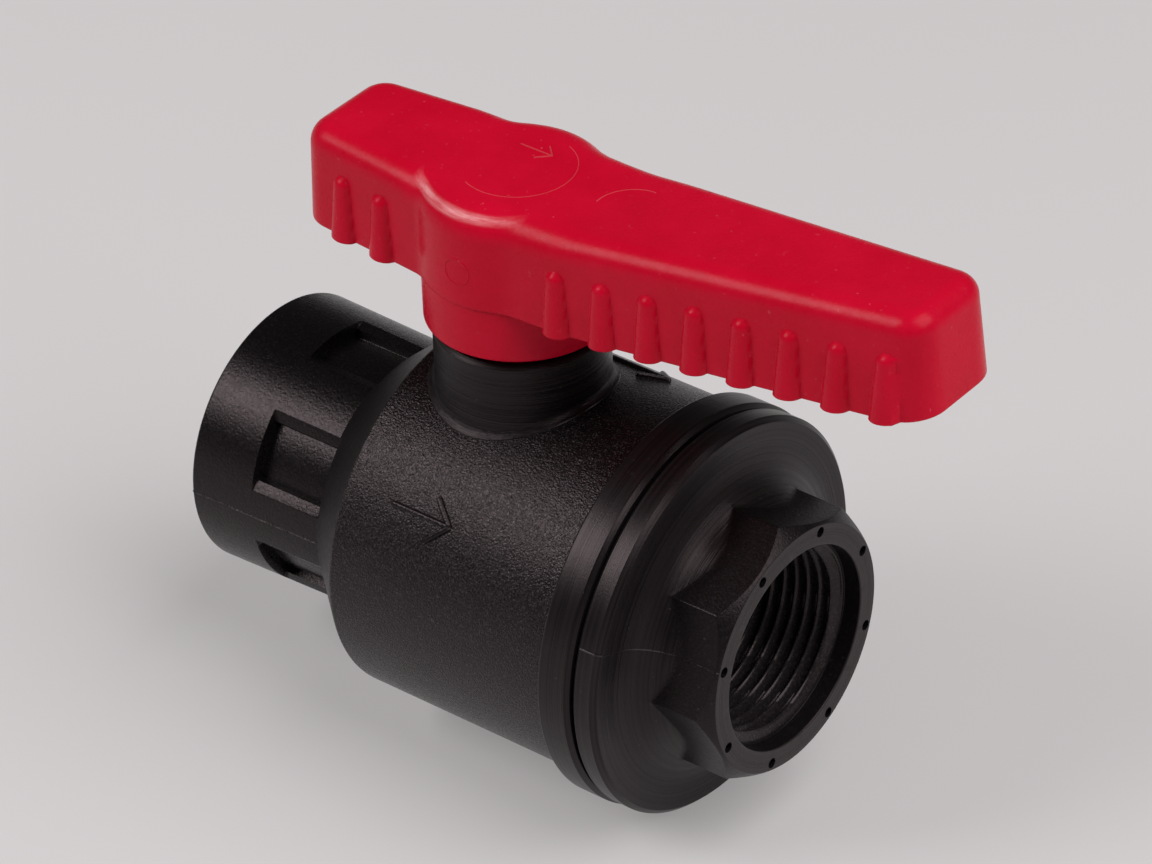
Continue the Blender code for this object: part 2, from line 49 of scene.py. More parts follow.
BODY_END = -41.2
ADAPTER_END = 41.7
SOCKET_R = (18.3, 17.8)          # at the inlet face and at the shoulder
SHOULDER = (-20.6, -12.3)        # foot and top of the shoulder cone
BODY_R = 25.05
COLLAR = (22.15, 26.8)
COLLAR_R = 26.7
FLANGE = (27.15, 30.65)
FLANGE_R = 26.4
MOUTH_R = 13.6
MOUTH_DEPTH = 2.5
FLOW_R = 10.0
PITCH = 1.814                    # G 3/4, right-hand
THREAD_MINOR = 12.06
THREAD_MAJOR = 13.22
THREAD_START = 24.2
THREAD_STEP = PITCH / 12.0
POCKET_ANGLES = [90.0 + 60.0 * i for i in range(6)]
POCKET_HALF = 17.5               # degrees
POCKET_X = (-31.2, -20.0)
POCKET_FLOOR = 16.25
WALL_RUN = (-4.6, -4.4, -4.1, -0.1, 0.15)     # degrees from a pocket's edge
WALL_DEPTH = (1.0, 0.96, 0.40, 0.02, 0.0)     # share of the pocket's depth there
APOTHEM = 16.81
OCTAGON_TURN = 2.5
CORNER_ROUND = 0.35              # on the octagon's edges
FACE_R = 16.5
CHAMFER_SLOPE = 1.7 / 1.85
NECK_R = 16.6
NECK_FILLET = 6.5
PARTING_ANGLE = 160.0            # mould line on the adapter
SOCKET_LINE = 180.0              # mould line on the socket
LINE_HEIGHT = 0.09
LINE_HALF = 0.35                 # degrees
LINE_SINK = 0.08                 # how far a raised line is rooted in its surface
HOLE_CIRCLE = 15.5
HOLE_R = 0.7
HOLE_DEPTH = 1.5
BOSS_R = 11.1
BOSS_TOP = 32.9
BOSS_FILLET = 0.85
STEM_BORE_R = 6.9
STEM_R = 6.6
STEM_COLLAR_R = 8.2
STEM_COLLAR = (17.1, 19.5)
WASHER = (19.8, 20.9)
WASHER_POCKET = (8.45, 21.05)    # radius and top
BALL_R = 16.5
CHAMBER = (10.8, 17.2)           # half length and radius of the ball's chamber
SPIGOT_BORE_R = 20.4
SPIGOT_R = 20.1
SEAT_FLOOR = 15.5
O_RING_GROOVE = (22.9, 25.2, 17.8)            # both walls and the floor's radius
RING_GROOVES = (23.0, 27.6)      # lower walls of the stem's grooves
GROOVE = (2.3, 4.6)              # their width and the floor's radius
STOP_BLOCK = (8.1, 9.7, 1.2)     # inner and outer radius, and half width
OPEN_LUG, CLOSED_LUG = 107.5, -17.5           # degrees

HUB_R = 12.1
HEAD_R = 12.3
HUB_FOOT = 34.3
ARM_FOOT = 41.4
HANDLE_TOP = 55.2
SHORT_END = -28.0
LONG_END = 65.4
SHORT_LINE = ((-28.0, 7.7), (-8.0, 9.8))
LONG_LINE = ((12.0, 10.3), (65.4, 7.2))
CORNER_R = 4.0
BLEND_R = (4.5, 9.0)             # concave blends from the hub to the short and the long arm
TOP_FILLET = 3.0
HUB_FILLET = 0.9                 # added to it over the hub
BEND = 14.5                      # where the long arm begins to rise
RISE = math.tan(math.radians(6.6))
RIBS = [14.0 + 6.7 * i for i in range(8)] + [-20.6, -14.05]
RIB_TOP = 4.9
RIB_HALF = (1.15, 1.85)
RIB_HEIGHT = (0.85, 1.35)
WALL = 2.0
SKIRT = (10.25, 50.4)            # inner radius and top
POST = (7.5, 34.8, 49.9, 52.8)   # radius, foot, roof of its square socket, and top
SOCKET_HALF = 4.6
DRIVE_HALF = 4.3                 # of the stem's square
WEB_HALF = 0.8
CROSS_WEBS = (22.4, 32.6, 42.9, 53.2, -17.3)
WEB_TOP = HANDLE_TOP - 2.2

SHARP = 32.0                     # degrees at which an edge stays crisp
WELD = 0.0005
WARM = (1.0, 0.80, 0.83)         # tint of the black parts' highlights
DUST = (0.060, 0.056, 0.056)

# ------------------------------------------------------------------- meshes


def smooth(t):
    """Smooth step of t from 0 to 1."""
    t = np.clip(t, 0.0, 1.0)
    return t * t * (3.0 - 2.0 * t)


def rounded(corners, steps=5):
    """Round a closed profile's corners, given as (axial, radius, fillet, zone), where numbers may be arrays.

    Returns a list of (axial, radius, zone), with one zone for the stretch that starts at each point.
    """
    count = len(corners)
    shape = np.broadcast_shapes(*[np.shape(c[k]) for c in corners for k in (0, 1)])
    points = [
        np.stack([np.broadcast_to(np.asarray(c[k], float), shape) for k in (0, 1)], -1) for c in corners
    ]
    result = []
    for i, (_, _, fillet, zone) in enumerate(corners):
        here, before, after = points[i], points[i - 1], points[(i + 1) % count]
        if not fillet:
            result.append((here, zone))
            continue
        to_before = before - here
        to_after = after - here
        reach_before = np.linalg.norm(to_before, axis=-1)
        reach_after = np.linalg.norm(to_after, axis=-1)
        u = to_before / reach_before[..., None]
        v = to_after / reach_after[..., None]
        turn = math.pi - np.arccos(np.clip((u * v).sum(-1), -1.0, 1.0))
        tangent = np.minimum(fillet * np.tan(turn / 2.0), 0.45 * np.minimum(reach_before, reach_after))
        radius = tangent / np.tan(turn / 2.0)
        middle = u + v
        middle = middle / np.linalg.norm(middle, axis=-1)[..., None]
        centre = here + middle * (radius / np.cos(turn / 2.0))[..., None]
        first = here + u * tangent[..., None] - centre
        last = here + v * tangent[..., None] - centre
        for k in range(steps + 1):
            share = k / steps
            a = np.sin((1.0 - share) * turn) / np.sin(turn)
            b = np.sin(share * turn) / np.sin(turn)
            point = centre + first * a[..., None] + last * b[..., None]
            result.append((point, corners[i - 1][3] if k < steps // 2 else zone))
    return [(p[..., 0], p[..., 1], zone) for p, zone in result]


def refined(rows, zone, step):
    """Put more rows into the stretches of one zone, so that none is longer than step."""
    result = []
    for i, (x, r, here) in enumerate(rows):
        result.append((x, r, here))
        nx, nr, _ = rows[(i + 1) % len(rows)]
        if here != zone:
            continue
        length = float(np.max(np.hypot(nx - x, nr - r)))
        extra = int(length / step)
        for k in range(1, extra + 1):
            share = k / (extra + 1)
            result.append((x + (nx - x) * share, r + (nr - r) * share, here))
    return result


def revolve(rows, angles, axis="X"):
    """Points of a turned surface, rows by columns by 3, with angles in degrees."""
    turn = np.radians(np.asarray(angles, float))
    x = np.stack([np.broadcast_to(row[0], turn.shape) for row in rows])
    r = np.stack([np.broadcast_to(row[1], turn.shape) for row in rows])
    if axis == "X":
        return np.stack([x, r * np.cos(turn), r * np.sin(turn)], -1)
    return np.stack([r * np.cos(turn), r * np.sin(turn), x], -1)


def placed(name, data):
    """Put a mesh, a light or a camera into the scene as an object."""
    obj = bpy.data.objects.new(name, data)
    bpy.context.scene.collection.objects.link(obj)
    return obj


def settled(name, bm):
    """A mesh with the faces of a bmesh, which is freed."""
    mesh = bpy.data.meshes.new(name)
    bm.to_mesh(mesh)
    bm.free()
    return mesh


def grid_normals(points):
    """Unit normals of a grid that is closed both ways."""
    along = np.roll(points, -1, 0) - np.roll(points, 1, 0)
    across = np.roll(points, -1, 1) - np.roll(points, 1, 1)
    normals = np.cross(along, across)
    return normals / np.maximum(np.linalg.norm(normals, axis=-1), 1e-9)[..., None]


class Builder:
    """Collects quads and n-gons with a material for each, and turns them into one object."""

    def __init__(self):
        self.verts = []
        self.faces = []
        self.zones = []
        self.count = 0

    def add(self, points, faces, zones):
        """Add points with faces that index into them, and one zone for each face."""
        self.verts.append(np.asarray(points, float).reshape(-1, 3))
        self.faces.extend([tuple(i + self.count for i in face) for face in faces])
        self.zones.extend(zones)
        self.count += len(self.verts[-1])

    def grid(self, points, zones, close_rows=True, close_columns=True):
        """Add a grid of points; zones is one name, or one for each row."""
        rows, columns = points.shape[:2]
        names = [zones] * rows if isinstance(zones, str) else zones
        faces = []
        owners = []
        for i in range(rows if close_rows else rows - 1):
            a, b = i * columns, (i + 1) % rows * columns
            for j in range(columns if close_columns else columns - 1):
                k = (j + 1) % columns
                faces.append((a + j, a + k, b + k, b + j))
            owners.extend([names[i]] * (len(faces) - len(owners)))
        self.add(points, faces, owners)

    def build(self, name, materials, sharp=SHARP):
        """Make the object; materials maps zone names to materials, and "" is for the rest."""
        mesh = bpy.data.meshes.new(name)
        mesh.from_pydata((np.concatenate(self.verts) * MM).tolist(), [], self.faces)
        order = []
        for material in materials.values():
            if material not in order:
                order.append(material)
                mesh.materials.append(material)
        slots = [order.index(materials.get(zone, materials.get(""))) for zone in self.zones]
        mesh.polygons.foreach_set("material_index", slots)
        bm = bmesh.new()
        bm.from_mesh(mesh)
        bmesh.ops.remove_doubles(bm, verts=bm.verts, dist=WELD * MM)
        bmesh.ops.dissolve_degenerate(bm, edges=bm.edges, dist=WELD * MM)
        bmesh.ops.recalc_face_normals(bm, faces=bm.faces)
        bm.to_mesh(mesh)
        bm.free()
        return shaded(placed(name, mesh), sharp)


def shaded(obj, sharp=SHARP):
    """Smooth shading that keeps crisp edges and flat faces flat."""
    obj.data.shade_smooth()
    obj.data.set_sharp_from_angle(angle=math.radians(sharp))
    weighted = obj.modifiers.new("Flat faces stay flat", "WEIGHTED_NORMAL")
    weighted.keep_sharp = True
    weighted.weight = 80
    return obj


def cut(target, tools):
    """Cut closed meshes out of a piece and remove them."""
    target.modifiers.clear()
    for tool in tools:
        modifier = target.modifiers.new("Cut", "BOOLEAN")
        modifier.operation = "DIFFERENCE"
        modifier.solver = "EXACT"
        modifier.object = tool
    bpy.context.view_layer.update()
    graph = bpy.context.evaluated_depsgraph_get()
    mesh = bpy.data.meshes.new_from_object(target.evaluated_get(graph))
    target.modifiers.clear()
    target.data = mesh
    for tool in tools:
        bpy.data.objects.remove(tool, do_unlink=True)
    return shaded(target)


def lathe(name, corners, material, axis="X", columns=96):
    """A closed turned piece from a profile of (axial, radius, fillet)."""
    rows = rounded([(x, r, fillet, "") for x, r, fillet in corners], 4)
    builder = Builder()
    builder.grid(revolve(rows, np.arange(columns) * 360.0 / columns, axis), "")
    return builder.build(name, {"": material})


def plug(name, radius, low, high, axis, centre=(0.0, 0.0), columns=24):
    """A solid cylinder, used as a cutter; centre is (y, z) of one along X, and one along Z is on the stem's axis."""
    bm = bmesh.new()
    bmesh.ops.create_cone(
        bm, cap_ends=True, segments=columns, radius1=radius * MM, radius2=radius * MM, depth=(high - low) * MM
    )
    bmesh.ops.translate(bm, vec=(0.0, 0.0, (low + high) / 2.0 * MM), verts=bm.verts)
    if axis == "X":
        bmesh.ops.rotate(bm, matrix=Matrix.Rotation(math.radians(90.0), 3, "Y"), verts=bm.verts)
        bmesh.ops.translate(bm, vec=(0.0, centre[0] * MM, centre[1] * MM), verts=bm.verts)
    return placed(name, settled(name, bm))


def block(name, low, high, material, bevel):
    """A box between two corners, with its edges rounded by bevel."""
    bm = bmesh.new()
    bmesh.ops.create_cube(bm, size=1.0)
    low, high = Vector(low) * MM, Vector(high) * MM
    bmesh.ops.scale(bm, vec=high - low, verts=bm.verts)
    bmesh.ops.translate(bm, vec=(high + low) / 2.0, verts=bm.verts)
    if bevel:
        bmesh.ops.bevel(
            bm, geom=bm.edges[:], offset=bevel * MM, offset_type="OFFSET", segments=2, profile=0.5, affect="EDGES"
        )
    mesh = settled(name, bm)
    mesh.materials.append(material)
    return shaded(placed(name, mesh))


def merged(name, objects):
    """Put several meshes and their materials into one object, and remove them."""
    bm = bmesh.new()
    materials = []
    for obj in objects:
        offset = []
        for material in obj.data.materials:
            if material not in materials:
                materials.append(material)
            offset.append(materials.index(material))
        start = len(bm.faces)
        bm.from_mesh(obj.data)
        bm.faces.ensure_lookup_table()
        for face in bm.faces[start:]:
            face.material_index = offset[face.material_index]
    mesh = settled(name, bm)
    for material in materials:
        mesh.materials.append(material)
    for obj in objects:
        bpy.data.objects.remove(obj, do_unlink=True)
    return shaded(placed(name, mesh))


# ---------------------------------------------------------------- materials


class Finish:
    """A Principled material under construction, with object coordinates in metres."""

    def __init__(self, name, roughness, specular=0.5, tint=(1.0, 1.0, 1.0)):
        self.material = bpy.data.materials.new(name)
        self.material.use_nodes = True
        self.tree = self.material.node_tree
        self.shader = self.tree.nodes["Principled BSDF"]
        self.shader.inputs["Roughness"].default_value = roughness
        self.shader.inputs["Specular IOR Level"].default_value = specular
        self.shader.inputs["Specular Tint"].default_value = (*tint, 1.0)
        self.place = self.tree.nodes.new("ShaderNodeTexCoord").outputs["Object"]
        self.normal = None

    def node(self, kind, inputs, **settings):
        """Add a node; inputs holds (socket, value or output) pairs."""
        node = self.tree.nodes.new(kind)
        for key, value in settings.items():
            setattr(node, key, value)
        for socket, value in inputs:
            if isinstance(value, bpy.types.NodeSocket):
                self.tree.links.new(value, node.inputs[socket])
            else:
                node.inputs[socket].default_value = value
        return node

    def math(self, operation, a, b=0.0):
        """Output of a Math node."""
        return self.node("ShaderNodeMath", [(0, a), (1, b)], operation=operation).outputs[0]

    def length(self, one, two):
        """Length of a vector with two parts."""
        squares = self.math("ADD", self.math("MULTIPLY", one, one), self.math("MULTIPLY", two, two))
        return self.math("SQRT", squares)

    def noise(self, scale, detail, rough, place=None):
        """A noise value at the given scale, in periods per metre."""
        place = self.place if place is None else place
        inputs = [("Vector", place), ("Scale", scale), ("Detail", detail), ("Roughness", rough)]
        return self.node("ShaderNodeTexNoise", inputs).outputs["Fac"]

    def spread(self, value, low, high, start=0.3, end=0.7):
        """Map a noise value from start..end to low..high."""
        inputs = [("Value", value), ("From Min", start), ("From Max", end), ("To Min", low), ("To Max", high)]
        return self.node("ShaderNodeMapRange", inputs).outputs["Result"]

    def bump(self, height, strength, distance):
        """Add a bump of that height in metres on top of those before it."""
        inputs = [("Height", height), ("Strength", strength), ("Distance", distance)]
        if self.normal is not None:
            inputs.append(("Normal", self.normal))
        self.normal = self.node("ShaderNodeBump", inputs).outputs["Normal"]
        self.tree.links.new(self.normal, self.shader.inputs["Normal"])

    def turning(self, axis):
        """Coordinates that only change along an axis and away from it, as lathe marks do."""
        split = self.node("ShaderNodeSeparateXYZ", [(0, self.place)]).outputs
        along, one, two = (split[0], split[1], split[2]) if axis == "X" else (split[2], split[0], split[1])
        return self.node("ShaderNodeCombineXYZ", [(0, along), (1, self.length(one, two))]).outputs[0]

    def mix(self, share, first, second):
        """Colour the surface by a mix of two colours, where the first may be an output."""
        inputs = [("Factor", share), ("A", first), ("B", (*second, 1.0))]
        mix = self.node("ShaderNodeMix", inputs, data_type="RGBA")
        self.tree.links.new(mix.outputs["Result"], self.shader.inputs["Base Color"])

    def colour(self, dark, light, value, start=0.35, end=0.65):
        """Colour the surface between two colours by a noise value."""
        self.mix(self.spread(value, 0.0, 1.0, start, end), (*dark, 1.0), light)

    def wear(self, share, colour):
        """Blend towards another colour where share is high; it lays on worn colour, dust, and the painted highlight
        over the hub.
        """
        self.mix(share, self.shader.inputs["Base Color"].links[0].from_socket, colour)

    def dust(self, scale):
        """Scatter specks of dust at a noise scale."""
        self.wear(self.spread(self.noise(scale, 2.0, 0.6), 0.0, 0.6, 0.68, 0.80), DUST)

    def roughness(self, value, low, high):
        """Vary the roughness by a noise value."""
        self.tree.links.new(self.spread(value, low, high), self.shader.inputs["Roughness"])


def shade(value, pale=1.0):
    """A slightly warm black of that brightness, made lighter by pale; a pale above 1 paints light into the colour.
    """
    return (value * pale, value * pale * 0.82, value * pale * 0.85)


def black_grained():
    """Black glass-filled nylon from a spark-eroded mould."""
    f = Finish("black_grained", 0.36, 0.29, WARM)
    f.colour(shade(0.0036), shade(0.0620), f.noise(4400.0, 2.0, 0.6), 0.56, 0.72)
    f.roughness(f.noise(3700.0, 2.0, 0.6), 0.20, 0.36)
    f.bump(f.noise(170.0, 2.0, 0.5), 0.5, 0.00006)
    f.bump(f.noise(4300.0, 1.0, 0.5), 1.0, 0.00010)
    return f.material


def black_turned(name, axis, lines, depth, low, high, pale=1.0):
    """Black nylon from a turned mould face, with fine lathe marks."""
    f = Finish(name, 0.35, 0.22, WARM)
    place = f.turning(axis)
    marks = f.noise(lines, 3.0, 0.75, place)
    f.colour(shade(0.0036, pale), shade(0.0170, pale), marks, 0.38, 0.70)
    f.dust(1700.0)
    f.roughness(f.noise(lines * 0.6, 3.0, 0.7, place), low, high)
    f.bump(marks, 1.0, depth)
    f.bump(f.noise(3200.0, 2.0, 0.5), 0.4, 0.00003)
    return f.material


def black_smooth(name, low, high, speckle=0.00004, pale=1.0):
    """Black nylon from a polished mould face that has worn matt in places."""
    f = Finish(name, 0.35, 0.22, WARM)
    f.colour(shade(0.0046, pale), shade(0.0150, pale), f.noise(3600.0, 3.0, 0.6), 0.50, 0.74)
    f.dust(1900.0)
    f.roughness(f.noise(1500.0, 3.0, 0.65), low, high)
    f.bump(f.noise(260.0, 2.0, 0.5), 0.4, 0.00004)
    f.bump(f.noise(3000.0, 2.0, 0.6), 0.7, speckle)
    return f.material


def rubbed_edge_painted_highlight(f):
    """Share of a paler red in streaks along the rounded edge over the hub: painted highlight, laid where fingers
    push and wear the edge.
    """
    split = f.node("ShaderNodeSeparateXYZ", [(0, f.place)]).outputs
    away = f.length(split[0], split[1])
    up = f.math("SUBTRACT", split[2], away)
    # on the rounding, height less distance from the stem's axis is nearly the same all the way round
    across = f.math("ABSOLUTE", f.math("SUBTRACT", up, 42.9 * MM))
    share = f.spread(across, 1.0, 0.0, 0.15 * MM, 1.25 * MM)
    for start, end in ((-9.3, -6.3), (8.5, 3.0)):
        share = f.math("MULTIPLY", share, f.spread(split[0], 0.0, 1.0, start * MM, end * MM))
    streaks = f.noise(1.0, 3.0, 0.7, f.node("ShaderNodeCombineXYZ", [
        (0, f.math("MULTIPLY", split[0], 220.0)), (1, f.math("MULTIPLY", away, 2600.0)),
        (2, f.math("MULTIPLY", split[2], 2600.0)),
    ]).outputs[0])
    return f.math("MULTIPLY", share, f.spread(streaks, 0.25, 1.0, 0.35, 0.62))


def red_satin(name, low, high):
    """Red satin nylon with faint flow marks, pale specks, and a painted highlight over the hub."""
    f = Finish(name, 0.28, 0.10)
    f.colour(low, high, f.noise(90.0, 4.0, 0.65))
    f.roughness(f.noise(1100.0, 3.0, 0.6), 0.24, 0.34)
    f.wear(f.spread(f.noise(1500.0, 2.0, 0.6), 0.0, 0.5, 0.70, 0.80), (0.72, 0.16, 0.19))
    # paler streaks along the rounded edge over the hub: painted highlight, on top of wear
    f.wear(rubbed_edge_painted_highlight(f), (0.86, 0.34, 0.36))
    f.bump(f.noise(110.0, 3.0, 0.5), 0.4, 0.00009)
    f.bump(f.noise(2300.0, 2.0, 0.5), 0.6, 0.00003)
    return f.material


def pale_plastic(name, dark, light, low, high, grain):
    """Pale moulded or machined plastic for the ball and the seats."""
    f = Finish(name, low)
    f.colour(dark, light, f.noise(90.0, 3.0, 0.6))
    f.roughness(f.noise(600.0, 2.0, 0.5), low, high)
    f.bump(f.noise(grain, 2.0, 0.6, f.turning("X")), 0.4, 0.00002)
    return f.material


def nitrile():
    """Black sealing rubber with a film of grease."""
    f = Finish("nitrile_rubber", 0.6)
    f.colour((0.009, 0.009, 0.0095), (0.016, 0.016, 0.0165), f.noise(800.0, 2.0, 0.5))
    f.roughness(f.noise(400.0, 2.0, 0.5), 0.35, 0.65)
    f.bump(f.noise(2500.0, 2.0, 0.5), 0.4, 0.00002)
    return f.material


GRAINED = black_grained()
COLLAR_FINISH = black_turned("black_turned_rim", "X", 2600.0, 0.00004, 0.27, 0.37)
DISC_FINISH = black_turned("black_turned_disc", "X", 2400.0, 0.00008, 0.28, 0.40)
# The port faces get a black 2.2 times as pale: painted light, standing in for the floor's reflection in them.
FACE_FINISH = black_turned("black_turned_face", "X", 2400.0, 0.00002, 0.24, 0.34, 2.2)
BOSS_FINISH = black_turned("black_turned_boss", "Z", 2400.0, 0.00012, 0.30, 0.40)
SOCKET_FINISH = black_smooth("black_socket", 0.22, 0.33, 0.00008)
CONE_FINISH = black_smooth("black_cone", 0.36, 0.48)
OCTAGON_FINISH = black_smooth("black_octagon", 0.28, 0.40, 0.00006)
# The threads get a black 2.6 times as pale: painted light deep in the bore.
THREAD_FINISH = black_smooth("black_thread", 0.20, 0.30, 0.00003, 2.6)
RED = red_satin("red_satin", (0.52, 0.0018, 0.019), (0.575, 0.0028, 0.025))
# A paler copy of the red for the hairlines and the arrow on the handle: painted highlight on the raised lines.
RED_LINE_PAINTED_HIGHLIGHT = red_satin("red_line_painted_highlight", (0.56, 0.036, 0.055), (0.64, 0.066, 0.082))
BALL_FINISH = pale_plastic("ball_polished", (0.66, 0.65, 0.62), (0.74, 0.73, 0.70), 0.16, 0.24, 400.0)
SEAT_FINISH = pale_plastic("seat_machined", (0.78, 0.77, 0.74), (0.85, 0.84, 0.81), 0.38, 0.48, 2600.0)
RUBBER = nitrile()

# ---------------------------------------------------------------- bore line


def port_corners(face, sign):
    """Corners of a port's inside from its mouth in to the seat pocket, as (axial, radius, fillet, zone)."""
    mouth_floor = abs(face) - MOUTH_DEPTH
    inside = [
        (abs(face), MOUTH_R, 0.25, "mouth"),
        (mouth_floor, MOUTH_R, 0.15, "mouth"),
        (mouth_floor, THREAD_MAJOR + 0.12, 0.0, "thread"),
        (THREAD_START, THREAD_MINOR, 0.0, "bore"),
        (THREAD_START - 1.0, FLOW_R, 0.3, "bore"),
        (SEAT_FLOOR, FLOW_R, 0.15, "bore"),
    ]
    groove = [(SEAT_FLOOR, 11.4), (17.6, 11.4), (17.6, 13.8), (SEAT_FLOOR, 13.8)]
    pocket = [(SEAT_FLOOR, 14.9), (CHAMBER[0], 14.9)]
    inside += [(x, r, 0.1, "bore") for x, r in groove + pocket]
    return [(x * sign, r, fillet, zone) for x, r, fillet, zone in inside]


def threaded(rows, face, columns):
    """Cut a right-hand helical thread into the rows of the thread zone."""
    inner = THREAD_START
    outer = abs(face) - MOUTH_DEPTH
    turn = np.radians(columns)
    result = []
    for x, r, zone in rows:
        if zone == "thread":
            depth = np.abs(np.asarray(x, float))
            phase = np.asarray(x, float) / PITCH + turn / math.tau
            wave = 0.5 - 0.5 * np.cos(math.tau * phase)
            runout = smooth((depth - inner) / (1.2 * PITCH))
            cut_r = THREAD_MINOR + (THREAD_MAJOR - THREAD_MINOR) * wave * runout
            lead_in = THREAD_MAJOR + 0.12 - 2.4 * (outer - depth)
            r = np.maximum(cut_r, lead_in)
        result.append((x, r, zone))
    return result


def away_from(angles, place):
    """How far angles are from a place, in degrees."""
    return np.abs((angles - place + 180.0) % 360.0 - 180.0)


def spread_columns(edges, offsets, clear, line):
    """Column angles: a uniform set, with finer ones about each edge and about a mould line."""
    fine = [edge + offset for edge in edges for offset in offsets]
    coarse = [a for a in np.arange(0.0, 360.0, 1.5) if away_from(np.array(fine), a).min() > clear]
    angles = set(round(a % 360.0, 4) for a in fine + coarse)
    return np.array(sorted(angles | {line + LINE_HALF * k for k in (-2, -1, 0, 1, 2)}))


def fine_rows(rows, places, zone):
    """Put rows at the given axial places into the stretch of a zone that holds them."""
    result = []
    for i, (x, r, here) in enumerate(rows):
        result.append((x, r, here))
        nx, nr, _ = rows[(i + 1) % len(rows)]
        if here != zone or np.ndim(x):
            continue
        inside = sorted([p for p in places if min(x, nx) + 0.02 < p < max(x, nx) - 0.02], reverse=bool(x > nx))
        for p in inside:
            share = (p - x) / (nx - x)
            result.append((p, r + (nr - r) * share, here))
    return result


def socket_pockets(rows):
    """Sink the wrench pockets into the socket's rows."""
    gap = np.min([away_from(COLUMNS, a) for a in POCKET_ANGLES], axis=0)
    beside = np.interp(gap, POCKET_HALF + np.array(WALL_RUN), WALL_DEPTH)
    result = []
    for x, r, zone in rows:
        if zone in ("socket", "cone"):
            back = smooth((x - POCKET_X[0] + 0.12) / 0.24)
            front = smooth((POCKET_X[1] + 0.05 - x) / 0.1)
            r = r - (r - POCKET_FLOOR) * beside * back * front
        result.append((x, r, zone))
    return result


def boss():
    """Boss on the body: turned wall, chamfered top, and a foot that flares on to the barrel."""
    columns = np.arange(144) * 2.5
    turn = np.radians(columns)

    def surface(radius):
        """Height of the barrel at that radius from the stem's axis."""
        return np.sqrt(BODY_R**2 - (radius * np.sin(turn)) ** 2)

    rows = []
    rim = BOSS_R + BOSS_FILLET
    for offset, drop in ((0.55, -0.35), (0.12, -0.02), (0.02, 0.10)):
        rows.append((surface(rim + offset) + drop, rim + offset, "rim"))
    for k in range(9):
        tilt = math.radians(90.0 * k / 8.0)
        radius = rim - BOSS_FILLET * math.sin(tilt)
        rows.append((surface(radius) + 0.12 + BOSS_FILLET * (1.0 - math.cos(tilt)), radius, "wall"))
    top = [(BOSS_TOP - 0.5, BOSS_R, 0.12, "wall"), (BOSS_TOP, BOSS_R - 0.5, 0.12, "rim")]
    top += [(BOSS_TOP, STEM_BORE_R + 0.3, 0.1, "rim"), (BOSS_TOP - 0.3, STEM_BORE_R, 0.1, "rim")]
    loop = [(24.0, STEM_BORE_R, 0.0, "wall"), (24.0, BOSS_R, 0.0, "wall")]
    upper = rounded(loop[1:] + top + loop[:1], 4)
    upper = [row for row in upper if row[0] > 24.5]
    rows += upper
    rows.append((surface(STEM_BORE_R) - 2.0, STEM_BORE_R, "wall"))
    builder = Builder()
    builder.grid(revolve(rows, columns, "Z"), [row[2] for row in rows])
    return builder.build("boss", {"wall": BOSS_FINISH, "rim": COLLAR_FINISH})


def stop_block(name, degrees, low, high, material):
    """A small upright block at the stops' distance from the stem's axis."""
    inner, outer, half = STOP_BLOCK
    piece = block(name, (inner, -half, low), (outer, half, high), material, 0.15)
    piece.data.transform(Matrix.Rotation(math.radians(degrees), 4, "Z"))
    return piece


def stop_lug(degrees):
    """One of the two lugs on the boss that stop the handle."""
    return stop_block("lug", degrees, BOSS_TOP - 1.0, HUB_FOOT + 1.6, BOSS_FINISH)


def hairline(name, loop, outward, width, height, material, closed=True):
    """A thin raised line along points on a surface, with the surface's outward direction at each."""
    loop = np.asarray(loop, float)
    outward = np.broadcast_to(np.asarray(outward, float), loop.shape)
    ahead = np.roll(loop, -1, 0) - np.roll(loop, 1, 0)
    if not closed:
        ahead[0], ahead[-1] = loop[1] - loop[0], loop[-1] - loop[-2]
    ahead /= np.linalg.norm(ahead, axis=1)[:, None]
    aside = np.cross(outward, ahead)
    section = ((-0.5, 0.0), (-0.4, 0.6), (-0.2, 0.93), (0.0, 1.0), (0.2, 0.93), (0.4, 0.6), (0.5, 0.0))
    section = [(a * width, b * height - LINE_SINK * (b == 0.0)) for a, b in section]
    grid = np.stack([loop + aside * a + outward * b for a, b in section], 1)
    if not closed:
        for end, sign in ((0, -1.0), (-1, 1.0)):
            centre = loop[end] + sign * ahead[end] * width * 0.25 - outward[end] * LINE_SINK
            grid[end] = [centre + aside[end] * a * 0.5 for a, b in section]
    builder = Builder()
    builder.grid(grid, "", close_rows=closed)
    return builder.build(name, {"": material})


ARROW_STROKES = (((-4.6, 0.0), (4.6, 0.0)), ((1.6, 2.9), (4.6, 0.0)), ((1.6, -2.9), (4.6, 0.0)))


def arrow(name, place, size, width, height, material):
    """A plain arrow of three strokes; place turns (x, y) into a position and the outward direction there."""
    strokes = []
    for k, (start, end) in enumerate(ARROW_STROKES):
        share = np.linspace(0.0, 1.0, 25)[:, None]
        spots = (np.array(start) * (1.0 - share) + np.array(end) * share) * size
        points, outward = zip(*(place(x, y) for x, y in spots))
        strokes.append(hairline(f"{name}_{k}", points, outward, width, height, material, False))
    return strokes


def on_barrel(centre, degrees):
    """Place for a mark on the body's barrel."""

    def place(x, y):
        angle = math.radians(degrees) - y / BODY_R
        outward = np.array([0.0, math.cos(angle), math.sin(angle)])
        return outward * BODY_R + [centre + x, 0.0, 0.0], outward

    return place


PAD_OFFSETS = (-4.9, -4.6, -4.4, -4.1, -2.8, -1.4, -0.1, 0.15, 0.5)
PAD_SIDES = [side * (POCKET_HALF + offset) for offset in PAD_OFFSETS for side in (-1.0, 1.0)]
COLUMNS = spread_columns(POCKET_ANGLES, PAD_SIDES, 0.45, SOCKET_LINE)


